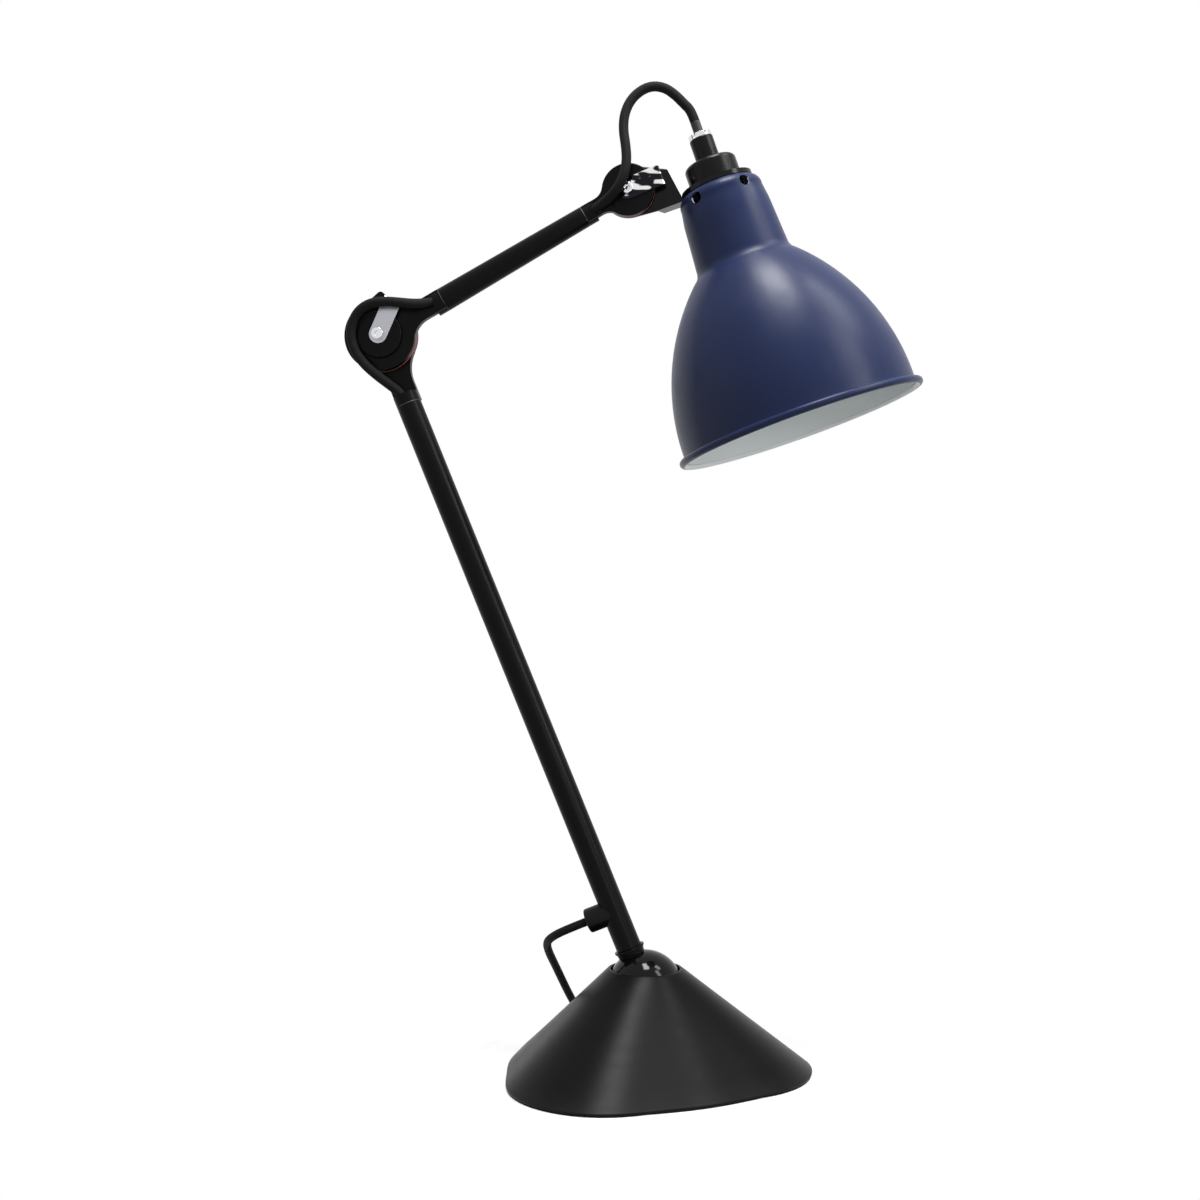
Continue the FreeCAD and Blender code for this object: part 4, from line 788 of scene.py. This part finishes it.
# Wrist fitting: the smaller disc and neck at the tube's far end, cast and pressed in.
kept("wrist_fitting", satin_black, "satin_black", 0.3 * MM)

# Sleeves: thin moulded rings on the cords, where they go into the tubes.
for sleeve in ("lower_ferrule", "upper_ferrule", "wrist_ferrule"):
    kept(sleeve, moulded_black, "black_moulding", 0.15 * MM)

# ---------------------------------------------------------------- elbow clamp
# A socket screw goes through both discs and a polished lock plate, with a spring
# washer and a nut behind; tightening it sets the friction.
chrome = metal("chrome", (0.72, 0.72, 0.74), roughness=0.07, scratch=300.0, depth=0.002 * MM)
plate_finish = metal("polished_steel", (0.42, 0.43, 0.46), roughness=0.30,
                     scratch=400.0, depth=0.006 * MM)
kept("elbow_tongue", plate_finish, "polished_steel", 0.15 * MM)
kept("elbow_screw", chrome, "chrome", 0.2 * MM)
kept("elbow_spring_washer", zinc, "bare_steel", 0.1 * MM)
kept("elbow_nut", zinc, "bare_steel")

# ---------------------------------------------------------------- head bracket
# Bent from 2 mm steel sheet: an upright cheek behind the wrist and a level ring that
# is clamped between the shade and the lampholder cover.  Stove enamelled, glossy.
enamel = lacquer("black_enamel", (0.0022, 0.0022, 0.0026), roughness=0.18,
                 grain=900.0, depth=0.010 * MM, shine=0.16).material
kept("head_bracket", enamel, "gloss_black", 0.3 * MM)

# ---------------------------------------------------------------- wrist clamp
# The same clamp as at the elbow, one size smaller.  Its lock plate is hand polished
# and wavy; dark and bright streaks of reflection are painted into its colour.
kept("wrist_friction_washer", fibre, "red_fibre", 0.1 * MM)
mirror = Finish("wavy_mirror", (0.16, 0.16, 0.17), roughness=0.07, metallic=1.0)
waves_and_reflection = mirror.place.stretched(0.6, 1.0, 1.7).noise(170.0, 0.6)
# Painted reflection: dark and bright streaks in the metal's colour, following the waves.
mirror.feed("Base Color", waves_and_reflection.ease(0.52, 0.60).tint((0.014, 0.014, 0.018), (0.80, 0.80, 0.80)))
mirror.bump(waves_and_reflection, 0.6 * MM)
kept("wrist_tongue", mirror.material, "polished_steel", 0.2 * MM)
kept("wrist_screw", chrome, "chrome", 0.2 * MM)
kept("wrist_spring_washer", zinc, "bare_steel", 0.1 * MM)
kept("wrist_nut", zinc, "bare_steel")

# ---------------------------------------------------------------- shade
# Spun from aluminium sheet with its lip rolled outward into a bead and five vent holes
# round the shoulder.  Satin navy lacquer outside, cool white inside.
navy = lacquer("navy_lacquer", (0.0085, 0.0150, 0.052), roughness=0.38,
               grain=1500.0, depth=0.018 * MM, shine=0.15).material
white = lacquer("shade_white", (0.80, 0.84, 0.84), roughness=0.5,
                grain=1500.0, depth=0.02 * MM, shine=0.4).material
shade = kept("shade", navy, "navy_lacquer", 0)
shade.data.materials.append(white)
for face in shade.data.polygons:
    out = face.center - CROWN
    out = out - HEAD_UP * out.dot(HEAD_UP)
    if face.normal.dot(out) < 0:
        face.material_index = 1

# ---------------------------------------------------------------- lampholder
# A moulded barrel with an insulating liner, clamped to the shade by a ring nut that
# has ribs round it for the fingers.
RING_RIBS, RING_LOW, RING_HIGH, RING_RIB_R = 24, -8.7, -4.8, 15.0
kept("socket_barrel", moulded_black, "black_moulding")
kept("socket_insert", moulded_black, "black_moulding")
ring = kept("shade_ring", moulded_black, "black_moulding")
ring_rib = Piece("ring_rib", moulded_black).rows([[
    CROWN + (HEAD_SIDE * (RING_RIB_R + x) + Y_AXIS * y + HEAD_UP * z) * MM
    for x, y in ((-0.4, -0.7), (0.5, -0.45), (0.5, 0.45), (-0.4, 0.7))]
    for z in (RING_LOW, RING_HIGH)])
ring_ribs = repeated("ring_ribs", ring_rib.finish(0.1 * MM), moulded_black, {
    "Count": RING_RIBS, "Centre": CROWN, "Axis": HEAD_UP, "Turn": 2 * pi / RING_RIBS})
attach(ring_ribs, frame["nodes"]["shade_ring"]["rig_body"])

# Bulb: small screw-cap lamp with an opal glass.
opal = lacquer("bulb_glass", (0.85, 0.85, 0.83), roughness=0.3,
               grain=400.0, depth=0.002 * MM, shine=0.5,
               Subsurface_Weight=0.3, Subsurface_Scale=0.004).material
kept("bulb_cap", zinc, "bare_steel")
kept("bulb_glass", opal, "bulb_glass", 0)

# ---------------------------------------------------------------- lampholder cover and cord entry
# A moulded cover with a rounded top edge and a cap, held down by a castellated chrome
# nut.  A shrink sleeve stiffens the cord where it comes out.
kept("holder_skirt", moulded_black, "black_moulding", 0.2 * MM)
kept("holder_cap", moulded_black, "black_moulding", 0.2 * MM)
kept("crown_nut", chrome, "chrome", 0.15 * MM)
sleeve_finish = lacquer("shrink_sleeve", (0.020, 0.017, 0.015), roughness=0.5,
                        grain=1600.0, depth=0.03 * MM, shine=0.25).material
kept("cord_sleeve", sleeve_finish, "black_moulding", 0.4 * MM)

# ---------------------------------------------------------------- studio
# White paper that fades out round the base, so that only the shadow shows.  A tall soft
# box on the right, one over the right shoulder and one overhead, and two weak ones low
# down, make the highlights; white all round gives the rest.
FLOOR_R, FLOOR_SIDES = 0.45, 72
FADE_FROM, FADE_TO, PAPER_COVER = 0.088, 0.125, 0.5
floor_mesh = bpy.data.meshes.new("floor")
turns = [2 * pi * k / FLOOR_SIDES for k in range(FLOOR_SIDES)]
floor_mesh.from_pydata(
    [(0.0, 0.0, 0.0)] + [(FLOOR_R * cos(turn), FLOOR_R * sin(turn), 0) for turn in turns], [],
    [(0, k, k % FLOOR_SIDES + 1) for k in range(1, FLOOR_SIDES + 1)])
floor_piece = bpy.data.objects.new("floor", floor_mesh)
bpy.context.scene.collection.objects.link(floor_piece)
paper = Finish("paper", (0.97, 0.97, 0.97), 0.9, Specular_IOR_Level=0.0)
reach = paper.place.node("VectorMath", {"operation": "LENGTH"}, {0: paper.place}, 1)
paper.feed("Alpha", (1 - reach.ease(FADE_FROM, FADE_TO)) * PAPER_COVER)
floor_mesh.materials.append(paper.material)


def soft_box(name, place, target, width, height, power):
    """A rectangular lamp that faces its target."""
    light = bpy.data.lights.new(name, "AREA")
    light.shape = "RECTANGLE"
    light.size, light.size_y = width, height
    light.energy = power
    holder = bpy.data.objects.new(name, light)
    holder.location = place
    holder.rotation_euler = (Vector(target) - Vector(place)).to_track_quat("-Z", "Y").to_euler()
    bpy.context.scene.collection.objects.link(holder)


soft_box("side", (0.88, -0.42, 0.88), (0.07, 0.0, 0.42), 0.22, 0.85, 7.0)
soft_box("shoulder", (0.62, -0.02, 1.28), (0.06, 0.0, 0.45), 0.24, 0.50, 5.0)
soft_box("overhead", (0.06, -0.24, 1.40), (0.0, -0.03, 0.0), 0.34, 0.50, 17.0)
soft_box("low_key", (0.62, -0.85, 0.30), (0.0, 0.0, 0.1), 0.24, 0.40, 1.2)
soft_box("fill", (-1.2, -0.6, 0.7), (0.0, 0.0, 0.3), 0.5, 0.9, 0.4)

world = bpy.data.worlds.new("studio")
bpy.context.scene.world = world
world.use_nodes = True
sky = world.node_tree
background = sky.nodes["Background"]
path = sky.nodes.new("ShaderNodeLightPath")
seen = Wire(sky, path.outputs["Is Camera Ray"])
for kind in ("Is Glossy Ray", "Is Transmission Ray"):
    seen = seen.math("MAXIMUM", seen, Wire(sky, path.outputs[kind]))
AMBIENT = 0.38                      # strength of the white that lights the lamp
sky.links.new((seen * (1 - AMBIENT) + AMBIENT).socket, background.inputs["Strength"])
background.inputs["Color"].default_value = (1, 1, 1, 1)
bpy.context.scene.view_settings.view_transform = "Standard"
